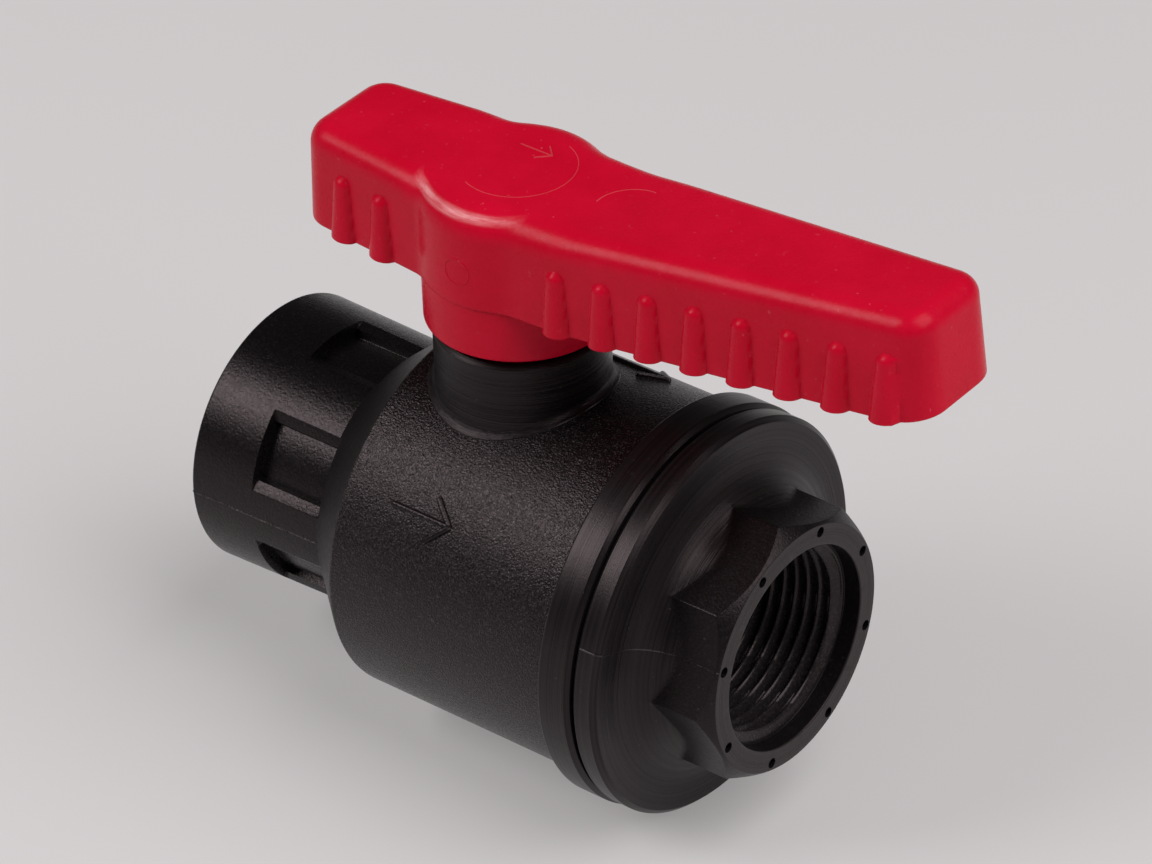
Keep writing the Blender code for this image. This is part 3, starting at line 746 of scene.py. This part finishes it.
def body_shell():
    """Outside and inside of the valve body as one closed grid."""
    corners = [
        (BODY_END, SOCKET_R[0], 0.4, "socket"),
        (SHOULDER[0], SOCKET_R[1], 0.12, "cone"),
        (SHOULDER[1], BODY_R, 0.7, "grain"),
        (COLLAR[0], BODY_R, 0.15, "collar"),
        (COLLAR[0], COLLAR_R, 0.3, "collar"),
        (COLLAR[1] - 0.55, COLLAR_R, 0.12, "collar"),
        (COLLAR[1], COLLAR_R - 0.55, 0.12, "collar"),
        (COLLAR[1], SPIGOT_BORE_R + 0.6, 0.1, "bore"),
        (COLLAR[1] - 0.6, SPIGOT_BORE_R, 0.1, "bore"),
        (CHAMBER[0], SPIGOT_BORE_R, 0.2, "bore"),
        (CHAMBER[0], CHAMBER[1], 0.2, "bore"),
        (-CHAMBER[0], CHAMBER[1], 0.2, "bore"),
    ]
    port = outward_port(BODY_END, -1.0)
    # the wall of the inlet's mouth is finished like the face beside it, with the same painted light
    port[-2] = (*port[-2][:3], "face")
    rows = rounded(corners + port)
    ends = [POCKET_X[0] + d for d in (-0.5, -0.2, -0.12, -0.06, 0.0, 0.06, 0.12, 0.2, 0.5)]
    rows = fine_rows(rows, ends + [-38.0, -35.0, -29.0, -27.0, -25.0, -23.0, -21.5, -21.0], "socket")
    rows = fine_rows(rows, [POCKET_X[1] + d for d in (-0.2, -0.05, 0.0, 0.05, 0.2, 1.0)], "cone")
    rows = refined(rows, "grain", 4.0)
    rows = refined(rows, "thread", THREAD_STEP)
    rows = threaded(socket_pockets(rows), BODY_END, COLUMNS)
    points = revolve(rows, COLUMNS)
    points += parting_line(points, rows, COLUMNS, SOCKET_LINE, ("socket",), -40.0)
    builder = Builder()
    builder.grid(points, [row[2] for row in rows])
    finishes = {
        "socket": SOCKET_FINISH, "cone": CONE_FINISH, "grain": GRAINED, "collar": COLLAR_FINISH,
        "face": FACE_FINISH, "mouth": CONE_FINISH, "thread": THREAD_FINISH, "": CONE_FINISH,
    }
    shell = builder.build("body_shell", finishes)
    bore = plug("stem_bore", STEM_BORE_R, 15.0, 30.0, "Z", columns=48)
    pocket = plug("washer_pocket", WASHER_POCKET[0], 12.0, WASHER_POCKET[1], "Z", columns=64)
    return cut(shell, [bore, pocket])


def outward_port(face, sign):
    """A port's corners from the seat pocket out to the mouth, ending with the face."""
    corners = port_corners(face, sign)[::-1]
    # a corner's zone is that of the stretch after it, which is another one in this direction
    zones = [corner[3] for corner in corners[1:]] + ["face"]
    return [(*corner[:3], zone) for corner, zone in zip(corners, zones)]


def adapter_shell():
    """The end adapter: turned flange, octagonal nose with its chamfer, thread and blind holes."""
    corner = (COLUMNS_A - OCTAGON_TURN) % 45.0
    from_corner = np.radians(np.minimum(corner, 45.0 - corner))
    half = math.radians(22.5)
    from_flat = half - from_corner
    centre = (APOTHEM - CORNER_ROUND) / math.cos(half)
    tangent = math.atan((APOTHEM - CORNER_ROUND) * math.tan(half) / APOTHEM)
    arc = centre * np.cos(from_corner) + np.sqrt(
        np.maximum(CORNER_ROUND**2 - (centre * np.sin(from_corner)) ** 2, 0.0)
    )
    octagon = np.where(from_flat > tangent, arc, APOTHEM / np.cos(from_flat))
    crease = ADAPTER_END - (octagon - FACE_R) / CHAMFER_SLOPE
    blend_x = FLANGE[1] + NECK_FILLET
    blend_r = NECK_R + NECK_FILLET
    meet = blend_x - np.sqrt(NECK_FILLET**2 - (blend_r - octagon) ** 2)
    corners = [
        (ADAPTER_END, FACE_R, 0.15, "octagon"),
        (crease, octagon, 0.25, "octagon"),
        (meet, octagon, 3.0, "blend"),
    ]
    low = np.arcsin(np.clip((blend_r - octagon) / NECK_FILLET, -1.0, 1.0))
    for k in range(3, 15):
        tilt = low * (1.0 - k / 14.0)
        corners.append((blend_x - NECK_FILLET * np.cos(tilt), blend_r - NECK_FILLET * np.sin(tilt), 0.0, "blend"))
    corners[-1] = (*corners[-1][:3], "disc")
    corners += [
        (FLANGE[1], FLANGE_R - 0.65, 0.12, "edge"),
        (FLANGE[1] - 0.65, FLANGE_R, 0.12, "rim"),
        (FLANGE[0] + 0.5, FLANGE_R, 0.12, "edge"),
        (FLANGE[0], FLANGE_R - 0.5, 0.1, "bore"),
        (FLANGE[0], SPIGOT_R, 0.2, "bore"),
    ]
    near, far, floor = O_RING_GROOVE
    groove = [(far, SPIGOT_R), (far, floor), (near, floor), (near, SPIGOT_R)]
    tip = [(CHAMBER[0] + 0.5, SPIGOT_R), (CHAMBER[0], SPIGOT_R - 0.5)]
    corners += [(x, r, 0.1, "bore") for x, r in groove + tip]
    rows = rounded(corners + outward_port(ADAPTER_END, 1.0))
    rows = refined(rows, "octagon", 1.2)
    rows = refined(rows, "disc", 1.0)
    rows = refined(rows, "thread", THREAD_STEP)
    rows = threaded(rows, ADAPTER_END, COLUMNS_A)
    points = revolve(rows, COLUMNS_A)
    outside = ("octagon", "blend", "disc", "rim", "edge")
    points += parting_line(points, rows, COLUMNS_A, PARTING_ANGLE, outside, 30.0)
    builder = Builder()
    builder.grid(points, [row[2] for row in rows])
    finishes = {
        "octagon": OCTAGON_FINISH, "blend": DISC_FINISH, "disc": DISC_FINISH, "edge": COLLAR_FINISH,
        "rim": COLLAR_FINISH, "face": FACE_FINISH, "mouth": CONE_FINISH, "thread": THREAD_FINISH,
        "": CONE_FINISH,
    }
    shell = builder.build("adapter_shell", finishes)
    holes = []
    for i in range(8):
        angle = half + math.radians(OCTAGON_TURN + 45.0 * i)
        place = (HOLE_CIRCLE * math.cos(angle), HOLE_CIRCLE * math.sin(angle))
        holes.append(plug("hole", HOLE_R, ADAPTER_END - HOLE_DEPTH, ADAPTER_END + 1.0, "X", place))
    return cut(shell, [merged_cutter(holes)])


def merged_cutter(tools):
    """Several separate cutters as one."""
    bm = bmesh.new()
    for tool in tools:
        bm.from_mesh(tool.data)
        bpy.data.objects.remove(tool, do_unlink=True)
    return placed("cutters", settled("cutters", bm))


def parting_line(points, rows, columns, place, zones, middle):
    """Shift of a grid's points that raises a hair-thin mould line in some zones, at an angle round the bore line.

    The axial place middle is inside the piece, to tell outward from inward.
    """
    ridge = np.maximum(0.0, 1.0 - away_from(columns, place) / LINE_HALF)
    shown = np.array([float(row[2] in zones) for row in rows])
    normals = grid_normals(points)
    outward = np.sign((normals * (points - [middle, 0.0, 0.0])).sum(-1))
    return normals * (outward * LINE_HEIGHT * ridge[None, :] * shown[:, None])[..., None]


OCTAGON_CORNERS = [OCTAGON_TURN + 45.0 * i for i in range(8)]
CORNER_OFFSETS = (-1.4, -0.8, -0.5, -0.33, -0.16, 0.0, 0.16, 0.33, 0.5, 0.8, 1.4)
COLUMNS_A = spread_columns(OCTAGON_CORNERS, CORNER_OFFSETS, 0.4, PARTING_ANGLE)


def seat(name, sign):
    """Seat ring with a hollow spherical face towards the ball."""
    reach = BALL_R + 0.3
    face = [(math.sqrt(reach**2 - r * r), r, 0.0) for r in np.linspace(10.4, 14.0, 9)]
    back = SEAT_FLOOR - 0.3
    corners = face + [(face[-1][0] - 0.1, 14.6, 0.12), (back, 14.6, 0.15), (back, 10.3, 0.15), (13.2, 10.3, 0.05)]
    return lathe(name, [(x * sign, r, fillet) for x, r, fillet in corners], SEAT_FINISH)


def ring(name, major, minor, place, axis="X"):
    """A sealing ring."""
    turn = np.arange(16) * math.tau / 16.0
    section = [(place + minor * math.sin(a), major + minor * math.cos(a), 0.0) for a in turn]
    return lathe(name, section, RUBBER, axis)


def ball_piece():
    """Ball with a rounded bore along X and a slot across its top for the stem's tang."""
    edge = math.degrees(math.asin(FLOW_R / BALL_R))
    sphere = [
        (-BALL_R * math.cos(math.radians(a)), BALL_R * math.sin(math.radians(a)), 0.0)
        for a in np.linspace(edge + 1.2, 180.0 - edge - 1.2, 60)
    ]
    mouth = BALL_R * math.cos(math.radians(edge))
    corners = sphere + [(mouth, FLOW_R, 0.35), (-mouth, FLOW_R, 0.35)]
    piece = lathe("ball_piece", corners, BALL_FINISH, columns=128)
    slot = block("slot", (-3.0, -18.0, 12.2), (3.0, 18.0, 18.0), BALL_FINISH, 0.0)
    return cut(piece, [slot])


def stem_piece():
    """Stem with its collar, ring grooves, tang and square drive."""
    foot, top = STEM_COLLAR
    low = [(foot, 0.4, 0.0), (foot, STEM_COLLAR_R, 0.25), (top, STEM_COLLAR_R, 0.25), (top, STEM_R, 0.1)]
    grooves = []
    width, floor = GROOVE
    for foot in RING_GROOVES:
        grooves += [(foot, STEM_R, 0.1), (foot, floor, 0.15)]
        grooves += [(foot + width, floor, 0.15), (foot + width, STEM_R, 0.1)]
    high = [(33.4, STEM_R, 0.25), (33.4, 0.4, 0.0)]
    shaft = lathe("shaft", low + grooves + high, BOSS_FINISH, "Z")
    tang = block("tang", (-2.7, -6.5, 12.5), (2.7, 6.5, 17.6), BOSS_FINISH, 0.3)
    drive = block("drive", (-DRIVE_HALF, -DRIVE_HALF, 33.0), (DRIVE_HALF, DRIVE_HALF, 49.6), BOSS_FINISH, 0.35)
    return merged("stem_piece", [shaft, tang, drive])


# ------------------------------------------------------------------- handle


def side_line(x, line):
    """Half width on one of the arms' straight sides."""
    (x0, y0), (x1, y1) = line
    return y0 + (y1 - y0) * (x - x0) / (x1 - x0)


def blend_centre(line, radius, sign):
    """Centre of a concave blend that touches an arm's side and the hub's circle, and its two tangent points."""
    (x0, y0), (x1, y1) = line
    length = math.hypot(x1 - x0, y1 - y0)
    ux, uy = (x1 - x0) / length, (y1 - y0) / length
    nx, ny = -uy, ux
    px, py = x0 + nx * radius, y0 + ny * radius
    b = px * ux + py * uy
    c = px * px + py * py - (HEAD_R + radius) ** 2
    root = math.sqrt(b * b - c)
    t = -b + root * sign
    cx, cy = px + ux * t, py + uy * t
    on_line = (cx - nx * radius, cy - ny * radius)
    scale = HEAD_R / (HEAD_R + radius)
    return (cx, cy), on_line, (cx * scale, cy * scale)


def arc_between(centre, start, end, step):
    """Points on the shorter arc from start to end about a centre, both ends included."""
    a = math.atan2(start[1] - centre[1], start[0] - centre[0])
    b = math.atan2(end[1] - centre[1], end[0] - centre[0])
    turn = (b - a + math.pi) % math.tau - math.pi
    count = max(2, int(abs(math.degrees(turn)) / step) + 1)
    radius = math.hypot(start[0] - centre[0], start[1] - centre[1])
    return [
        (centre[0] + radius * math.cos(a + turn * k / count), centre[1] + radius * math.sin(a + turn * k / count))
        for k in range(count + 1)
    ]


def straight(start, end):
    """Points along an arm's side, finer where its ribs are; the ends are left out."""
    places = []
    x = start[0] + 0.5
    while x < end[0] - 0.3:
        places.append(x)
        near = min(abs(x - rib) for rib in RIBS)
        x += 0.19 if near < 2.35 else 0.7
    slope = (end[1] - start[1]) / (end[0] - start[0])
    return [(x, start[1] + (x - start[0]) * slope) for x in places]


def end_corner(line, x):
    """Centre of the rounded corner at an arm's end, and where it meets the arm's side."""
    slope = math.atan2(line[1][1] - line[0][1], line[1][0] - line[0][0])
    y = side_line(x, line) - CORNER_R / math.cos(slope)
    return (x, y), (x - CORNER_R * math.sin(slope), y + CORNER_R * math.cos(slope))


def side_outline():
    """The handle's plan outline on its +Y side, from the short end's corner to the tip's corner."""
    corner, foot = end_corner(SHORT_LINE, SHORT_END + CORNER_R)
    points = arc_between(corner, (SHORT_END, corner[1]), foot, 9.0)
    centre, on_line, hub_start = blend_centre(SHORT_LINE, BLEND_R[0], -1.0)
    points += straight(foot, on_line)
    points += arc_between(centre, on_line, hub_start, 4.0)
    centre, on_line, hub_end = blend_centre(LONG_LINE, BLEND_R[1], 1.0)
    points += arc_between((0.0, 0.0), hub_start, hub_end, 3.0)[1:-1]
    points += arc_between(centre, hub_end, on_line, 4.0)
    corner, foot = end_corner(LONG_LINE, LONG_END - CORNER_R)
    points += straight(on_line, foot)
    points += arc_between(corner, foot, (LONG_END, corner[1]), 9.0)
    return points


def handle_ring():
    """The closed plan outline with its outward normals, and the number of points in each part."""
    side = np.array(side_outline())
    across = 12
    short_y = np.linspace(-side[0, 1], side[0, 1], across + 1)[1:-1]
    long_y = np.linspace(side[-1, 1], -side[-1, 1], across + 1)[1:-1]
    ring_points = np.concatenate([
        np.stack([np.full(across - 1, SHORT_END), short_y], -1),
        side,
        np.stack([np.full(across - 1, LONG_END), long_y], -1),
        (side * [1.0, -1.0])[::-1],
    ])
    ahead = np.roll(ring_points, -1, 0) - ring_points
    ahead /= np.linalg.norm(ahead, axis=1)[:, None]
    behind = np.roll(ahead, 1, 0)
    tangent = ahead + behind
    tangent /= np.linalg.norm(tangent, axis=1)[:, None]
    normals = np.stack([-tangent[:, 1], tangent[:, 0]], -1)
    return ring_points, normals, across, len(side)


def lift(x):
    """How far the long arm has risen at x."""
    soft = 0.9
    past = (np.asarray(x, float) - BEND) / soft
    return RISE * soft * np.logaddexp(0.0, past)


def flare(x):
    """How far the sides flare out from under the top fillet down to the foot."""
    x = np.asarray(x, float)
    return np.where(x > 0.0, 0.1 + 0.85 * smooth((x - 8.0) / 57.0), 0.1 + 0.25 * smooth((-x - 8.0) / 20.0))


def top_fillet(x):
    """Radius of the rounding round the top, which is larger over the hub."""
    x = np.asarray(x, float)
    return TOP_FILLET + HUB_FILLET * smooth((x + 13.0) / 9.0) * smooth((22.0 - x) / 16.0)


def rib_height(x, drop):
    """How far the ribs stand out from the side at x and at a depth below the top."""
    share = np.clip((drop - RIB_TOP) / (HANDLE_TOP - ARM_FOOT - RIB_TOP), 0.0, 1.0)
    half = RIB_HALF[0] + (RIB_HALF[1] - RIB_HALF[0]) * share
    height = RIB_HEIGHT[0] + (RIB_HEIGHT[1] - RIB_HEIGHT[0]) * share
    dome = np.maximum(0.0, RIB_TOP + RIB_HALF[0] - drop) / RIB_HALF[0]
    result = np.zeros(np.broadcast(x, drop).shape)
    for rib in RIBS:
        away = ((x - rib) / half) ** 2 + dome**2
        result = np.maximum(result, height * np.sqrt(np.maximum(0.0, 1.0 - away)))
    return result


def cap(points, across, side):
    """Fill a handle ring with a grid, using the ring's own points on the rim."""
    first = np.concatenate([points[-1:], points[: across - 1], points[across - 1 : across]])
    rows = [first]
    upper = points[across - 1 : across - 1 + side]
    lower = points[across - 1 + side + across - 1 :][::-1]
    share = np.linspace(0.0, 1.0, across + 1)[:, None]
    for low, high in zip(lower[1:-1], upper[1:-1]):
        rows.append(low + (high - low) * share)
    tip = points[across - 1 + side : across - 1 + side + across - 1][::-1]
    rows.append(np.concatenate([lower[-1:], tip, upper[-1:]]))
    return np.stack(rows)


def handle_shell():
    """Outside and cored inside of the handle's arms and hub head."""
    plan, normals, across, side = handle_ring()
    full = HANDLE_TOP - ARM_FOOT
    fillet = top_fillet(plan[:, 0])
    flared = flare(plan[:, 0])
    rows = []
    on_arm = np.abs(normals[:, 1]) > 0.9
    for k in range(13):
        tilt = math.radians(7.5 * k)
        rows.append((-fillet * (1.0 - math.sin(tilt)), fillet * (1.0 - math.cos(tilt))))
    below = full - 0.45
    for level in np.concatenate([np.arange(3.4, 7.2, 0.24), np.linspace(7.4, below, 11)]):
        depth = fillet + (level - TOP_FILLET) * (below - fillet) / (below - TOP_FILLET)
        out = flared * (level - TOP_FILLET) / (full - TOP_FILLET)
        rows.append((out + np.where(on_arm, rib_height(plan[:, 0], depth), 0.0), depth))
    foot_out = flared + np.where(on_arm, rib_height(plan[:, 0], full), 0.0)
    for k in range(1, 5):
        tilt = math.radians(22.5 * k)
        rows.append((foot_out - 0.4 * (1.0 - math.cos(tilt)), full - 0.4 + 0.4 * math.sin(tilt)))
    inner = flared - WALL
    rows.append((inner + 0.25, full))
    rows.append((inner + 0.07, full - 0.07))
    rows.append((inner, full - 0.25))
    rows.append((flared * 0.2 - WALL - 0.05, WALL + 1.0))
    rows.append((flared * 0.1 - WALL - 0.25, WALL + 0.6))
    rows.append((flared * 0.1 - WALL - 0.7, WALL + 0.4))
    grid = []
    for out, depth in rows:
        spot = plan + normals * np.asarray(out)[:, None]
        grid.append(np.column_stack([spot, HANDLE_TOP - depth + lift(spot[:, 0])]))
    grid = np.stack(grid)
    builder = Builder()
    builder.grid(grid, "", close_rows=False)
    for ring_points in (grid[0], grid[-1]):
        sheet = cap(ring_points, across, side)
        level = ring_points[:, 2] - lift(ring_points[:, 0])
        sheet[..., 2] = level[0] + lift(sheet[..., 0])
        builder.grid(sheet, "", close_rows=False, close_columns=False)
    return builder.build("handle_shell", {"": RED}, sharp=40.0)


def hub_parts():
    """Skirt, square-socketed post, stop tooth and stiffening webs under the handle."""
    inner, top = SKIRT
    section = [(HUB_FOOT, inner, 0.2), (HUB_FOOT, HUB_R, 0.35), (top, HUB_R, 0.0), (top, inner, 0.0)]
    skirt = lathe("skirt", section, RED, "Z", 128)
    columns = np.arange(144) * 2.5
    turn = np.radians(columns)
    square = SOCKET_HALF / np.maximum(np.abs(np.cos(turn)), np.abs(np.sin(turn)))
    radius, foot, roof, top = POST
    rows = rounded([(foot, radius, 0.3, ""), (top, radius, 0.0, ""), (top, 0.3, 0.0, ""), (roof, 0.3, 0.0, "")], 4)
    rows += [(roof, square, ""), (foot + 0.3, square, ""), (foot, square + 0.3, "")]
    builder = Builder()
    builder.grid(revolve(rows, columns, "Z"), "")
    post = builder.build("post", {"": RED})
    tooth = stop_block("tooth", 90.0, HUB_FOOT + 0.3, WEB_TOP, RED)
    webs = []
    for start, end in ((7.0, 63.2), (-26.0, -7.0)):
        web = block("web", (start, -WEB_HALF, ARM_FOOT + 1.0), (end, WEB_HALF, WEB_TOP), RED, 0.2)
        bm = bmesh.new()
        bm.from_mesh(web.data)
        geom = bm.verts[:] + bm.edges[:] + bm.faces[:]
        bmesh.ops.bisect_plane(bm, geom=geom, plane_co=(BEND * MM, 0.0, 0.0), plane_no=(1.0, 0.0, 0.0))
        bm.to_mesh(web.data)
        bm.free()
        webs.append(web)
    for x in CROSS_WEBS:
        reach = side_line(x, LONG_LINE if x > 0.0 else SHORT_LINE) - 1.2
        low, high = (x - WEB_HALF, -reach, ARM_FOOT + 1.6), (x + WEB_HALF, reach, WEB_TOP)
        webs.append(block("web", low, high, RED, 0.2))
    for web in webs:
        for vert in web.data.vertices:
            vert.co.z += float(lift(vert.co.x / MM)) * MM
    return [skirt, post, tooth] + webs


def handle_marks():
    """Witness lines of the mould's inserts, and a plain arrow on top."""

    def on_top(centre, radius, start, end):
        turn = np.radians(np.linspace(start, end, 96))
        x, y = centre[0] + radius * np.cos(turn), centre[1] + radius * np.sin(turn)
        return np.stack([x, y, HANDLE_TOP + lift(x)], -1)

    turn = np.arange(48) * math.tau / 48.0
    wall = HEAD_R + 0.055
    angle = math.radians(-88.3) + 1.8 * np.cos(turn) / wall
    side = np.stack([wall * np.cos(angle), wall * np.sin(angle), 46.4 + 1.8 * np.sin(turn)], -1)
    facing = np.stack([np.cos(angle), np.sin(angle), np.zeros(48)], -1)
    up = np.array([0.0, 0.0, 1.0])
    # the hairlines on top and the arrow are in the paler red, a painted highlight; the line on the hub's side is in
    # the plain red
    lines = [
        hairline("insert_line", on_top((0.4, 0.3), 7.3, -115.0, 72.0), up, 0.13, 0.03, RED_LINE_PAINTED_HIGHLIGHT, False),
        hairline("pin_line", on_top((17.6, 0.0), 4.42, 80.0, 190.0), up, 0.18, 0.04, RED_LINE_PAINTED_HIGHLIGHT, False),
        hairline("side_line", side, facing, 0.22, 0.06, RED),
    ]

    def place(x, y):
        return np.array([x, 4.2 + y, HANDLE_TOP]), up

    return lines + arrow("arrow_top", place, 0.55, 0.26, 0.12, RED_LINE_PAINTED_HIGHLIGHT)


# ------------------------------------------------------------------ assembly


def use(piece, body, slot, *nodes):
    """Let a piece stand for CAD nodes and ride on their body."""
    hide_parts(*nodes)
    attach(piece, body)


marks = arrow("arrow_near", on_barrel(-0.5, 144.5), 1.0, 0.85, 0.5, SOCKET_FINISH)
marks += arrow("arrow_far", on_barrel(9.0, 62.0), 1.0, 0.85, 0.5, SOCKET_FINISH)
lugs = [stop_lug(OPEN_LUG), stop_lug(CLOSED_LUG)]
body = merged("body_piece", [body_shell(), boss()] + lugs + marks)
use(body, "housing", "black_nylon", "valve_body")
use(adapter_shell(), "housing", "black_nylon", "end_adapter")
use(seat("seat_inlet_piece", -1.0), "housing", "ptfe", "seat_inlet")
use(seat("seat_outlet_piece", 1.0), "housing", "ptfe", "seat_outlet")
use(ring("seat_ring_inlet_piece", 12.6, 0.9, -16.4), "housing", "nitrile", "seat_ring_inlet")
use(ring("seat_ring_outlet_piece", 12.6, 0.9, 16.4), "housing", "nitrile", "seat_ring_outlet")
use(ring("adapter_o_ring_piece", 19.1, 0.85, 24.05), "housing", "nitrile", "adapter_o_ring")
use(ball_piece(), "ball_core", "ball_plastic", "ball")
use(stem_piece(), "lever", "black_nylon", "stem")
use(ring("stem_ring_lower_piece", 5.75, 0.85, 24.15, "Z"), "lever", "nitrile", "stem_o_ring_lower")
use(ring("stem_ring_upper_piece", 5.75, 0.85, 28.75, "Z"), "lever", "nitrile", "stem_o_ring_upper")
low, high = WASHER
section = [(low, STEM_BORE_R), (low, STEM_COLLAR_R), (high, STEM_COLLAR_R), (high, STEM_BORE_R)]
washer = lathe("thrust_washer_piece", [(*corner, 0.1) for corner in section], SEAT_FINISH, "Z")
use(washer, "lever", "ptfe", "thrust_washer")
use(merged("handle_piece", [handle_shell()] + hub_parts() + handle_marks()), "lever", "red_nylon", "handle")

# ------------------------------------------------------- floor, light, camera

FLOOR_Z = -COLLAR_R * MM
FLOOR_HALF = 30.0                # metres
LAMP_TARGET = (0.0, 0.0, 0.01)
VIEW_ANGLES = (39.427, 34.97, -2.255)         # azimuth, elevation and roll
VIEW_TARGET = (8.01, 0.0, 18.85)
VIEW_DISTANCE = 0.7184           # metres
VIEW_LENS = 180.6


def stage_floor():
    """Plain pale floor, which glows a little so that shadows stay weak."""
    f = Finish("pale_floor", 0.6)
    f.colour((0.420, 0.402, 0.404), (0.430, 0.412, 0.414), f.noise(3.0, 2.0, 0.5))
    f.shader.inputs["Emission Color"].default_value = (1.0, 0.955, 0.96, 1.0)
    f.shader.inputs["Emission Strength"].default_value = 0.245
    mesh = bpy.data.meshes.new("floor")
    signs = ((-1, -1), (1, -1), (1, 1), (-1, 1))
    mesh.from_pydata([(x * FLOOR_HALF, y * FLOOR_HALF, FLOOR_Z) for x, y in signs], [], [(0, 1, 2, 3)])
    mesh.materials.append(f.material)
    placed("floor", mesh)


def softbox(name, place, size, power):
    """A square area light that faces the object."""
    light = bpy.data.lights.new(name, "AREA")
    light.shape = "RECTANGLE"
    light.size = light.size_y = size
    light.energy = power
    lamp = placed(name, light)
    lamp.location = place
    lamp.rotation_euler = (Vector(LAMP_TARGET) - Vector(place)).to_track_quat("-Z", "Y").to_euler()


def camera():
    """Camera at the viewing angle of a product shot: right front, from above."""
    azimuth, elevation, roll = (math.radians(a) for a in VIEW_ANGLES)
    level = math.cos(elevation)
    back = Vector((math.sin(azimuth) * level, -math.cos(azimuth) * level, math.sin(elevation)))
    right = Vector((math.cos(azimuth), math.sin(azimuth), 0.0))
    up = back.cross(right)
    side = right * math.cos(roll) + up * math.sin(roll)
    top = up * math.cos(roll) - right * math.sin(roll)
    matrix = Matrix((side, top, back)).transposed().to_4x4()
    matrix.translation = Vector(VIEW_TARGET) * MM + back * VIEW_DISTANCE
    data = bpy.data.cameras.new("camera")
    data.sensor_width = 36.0
    data.lens = VIEW_LENS
    data.clip_start = 0.05
    view = placed("camera", data)
    view.matrix_world = matrix
    bpy.context.scene.camera = view


def studio():
    """Dim studio, pale only just above the floor's far edge."""
    world = bpy.data.worlds.new("studio")
    world.use_nodes = True
    tree = world.node_tree
    split = tree.nodes.new("ShaderNodeSeparateXYZ")
    tree.links.new(tree.nodes.new("ShaderNodeTexCoord").outputs["Generated"], split.inputs[0])
    fade = tree.nodes.new("ShaderNodeMapRange")
    fade.interpolation_type = "SMOOTHSTEP"
    for socket, value in (("From Min", 0.0), ("From Max", 0.16), ("To Min", 0.30), ("To Max", 0.05)):
        fade.inputs[socket].default_value = value
    tree.links.new(split.outputs[2], fade.inputs["Value"])
    background = tree.nodes["Background"]
    background.inputs["Color"].default_value = (1.0, 0.96, 0.965, 1.0)
    tree.links.new(fade.outputs["Result"], background.inputs["Strength"])
    bpy.context.scene.world = world


stage_floor()
softbox("left", (-0.52, -0.55, 0.654), 0.44, 4.9)
softbox("right", (0.80, 0.10, 1.10), 1.2, 18.0)
camera()
studio()
bpy.context.scene.view_settings.view_transform = "Standard"
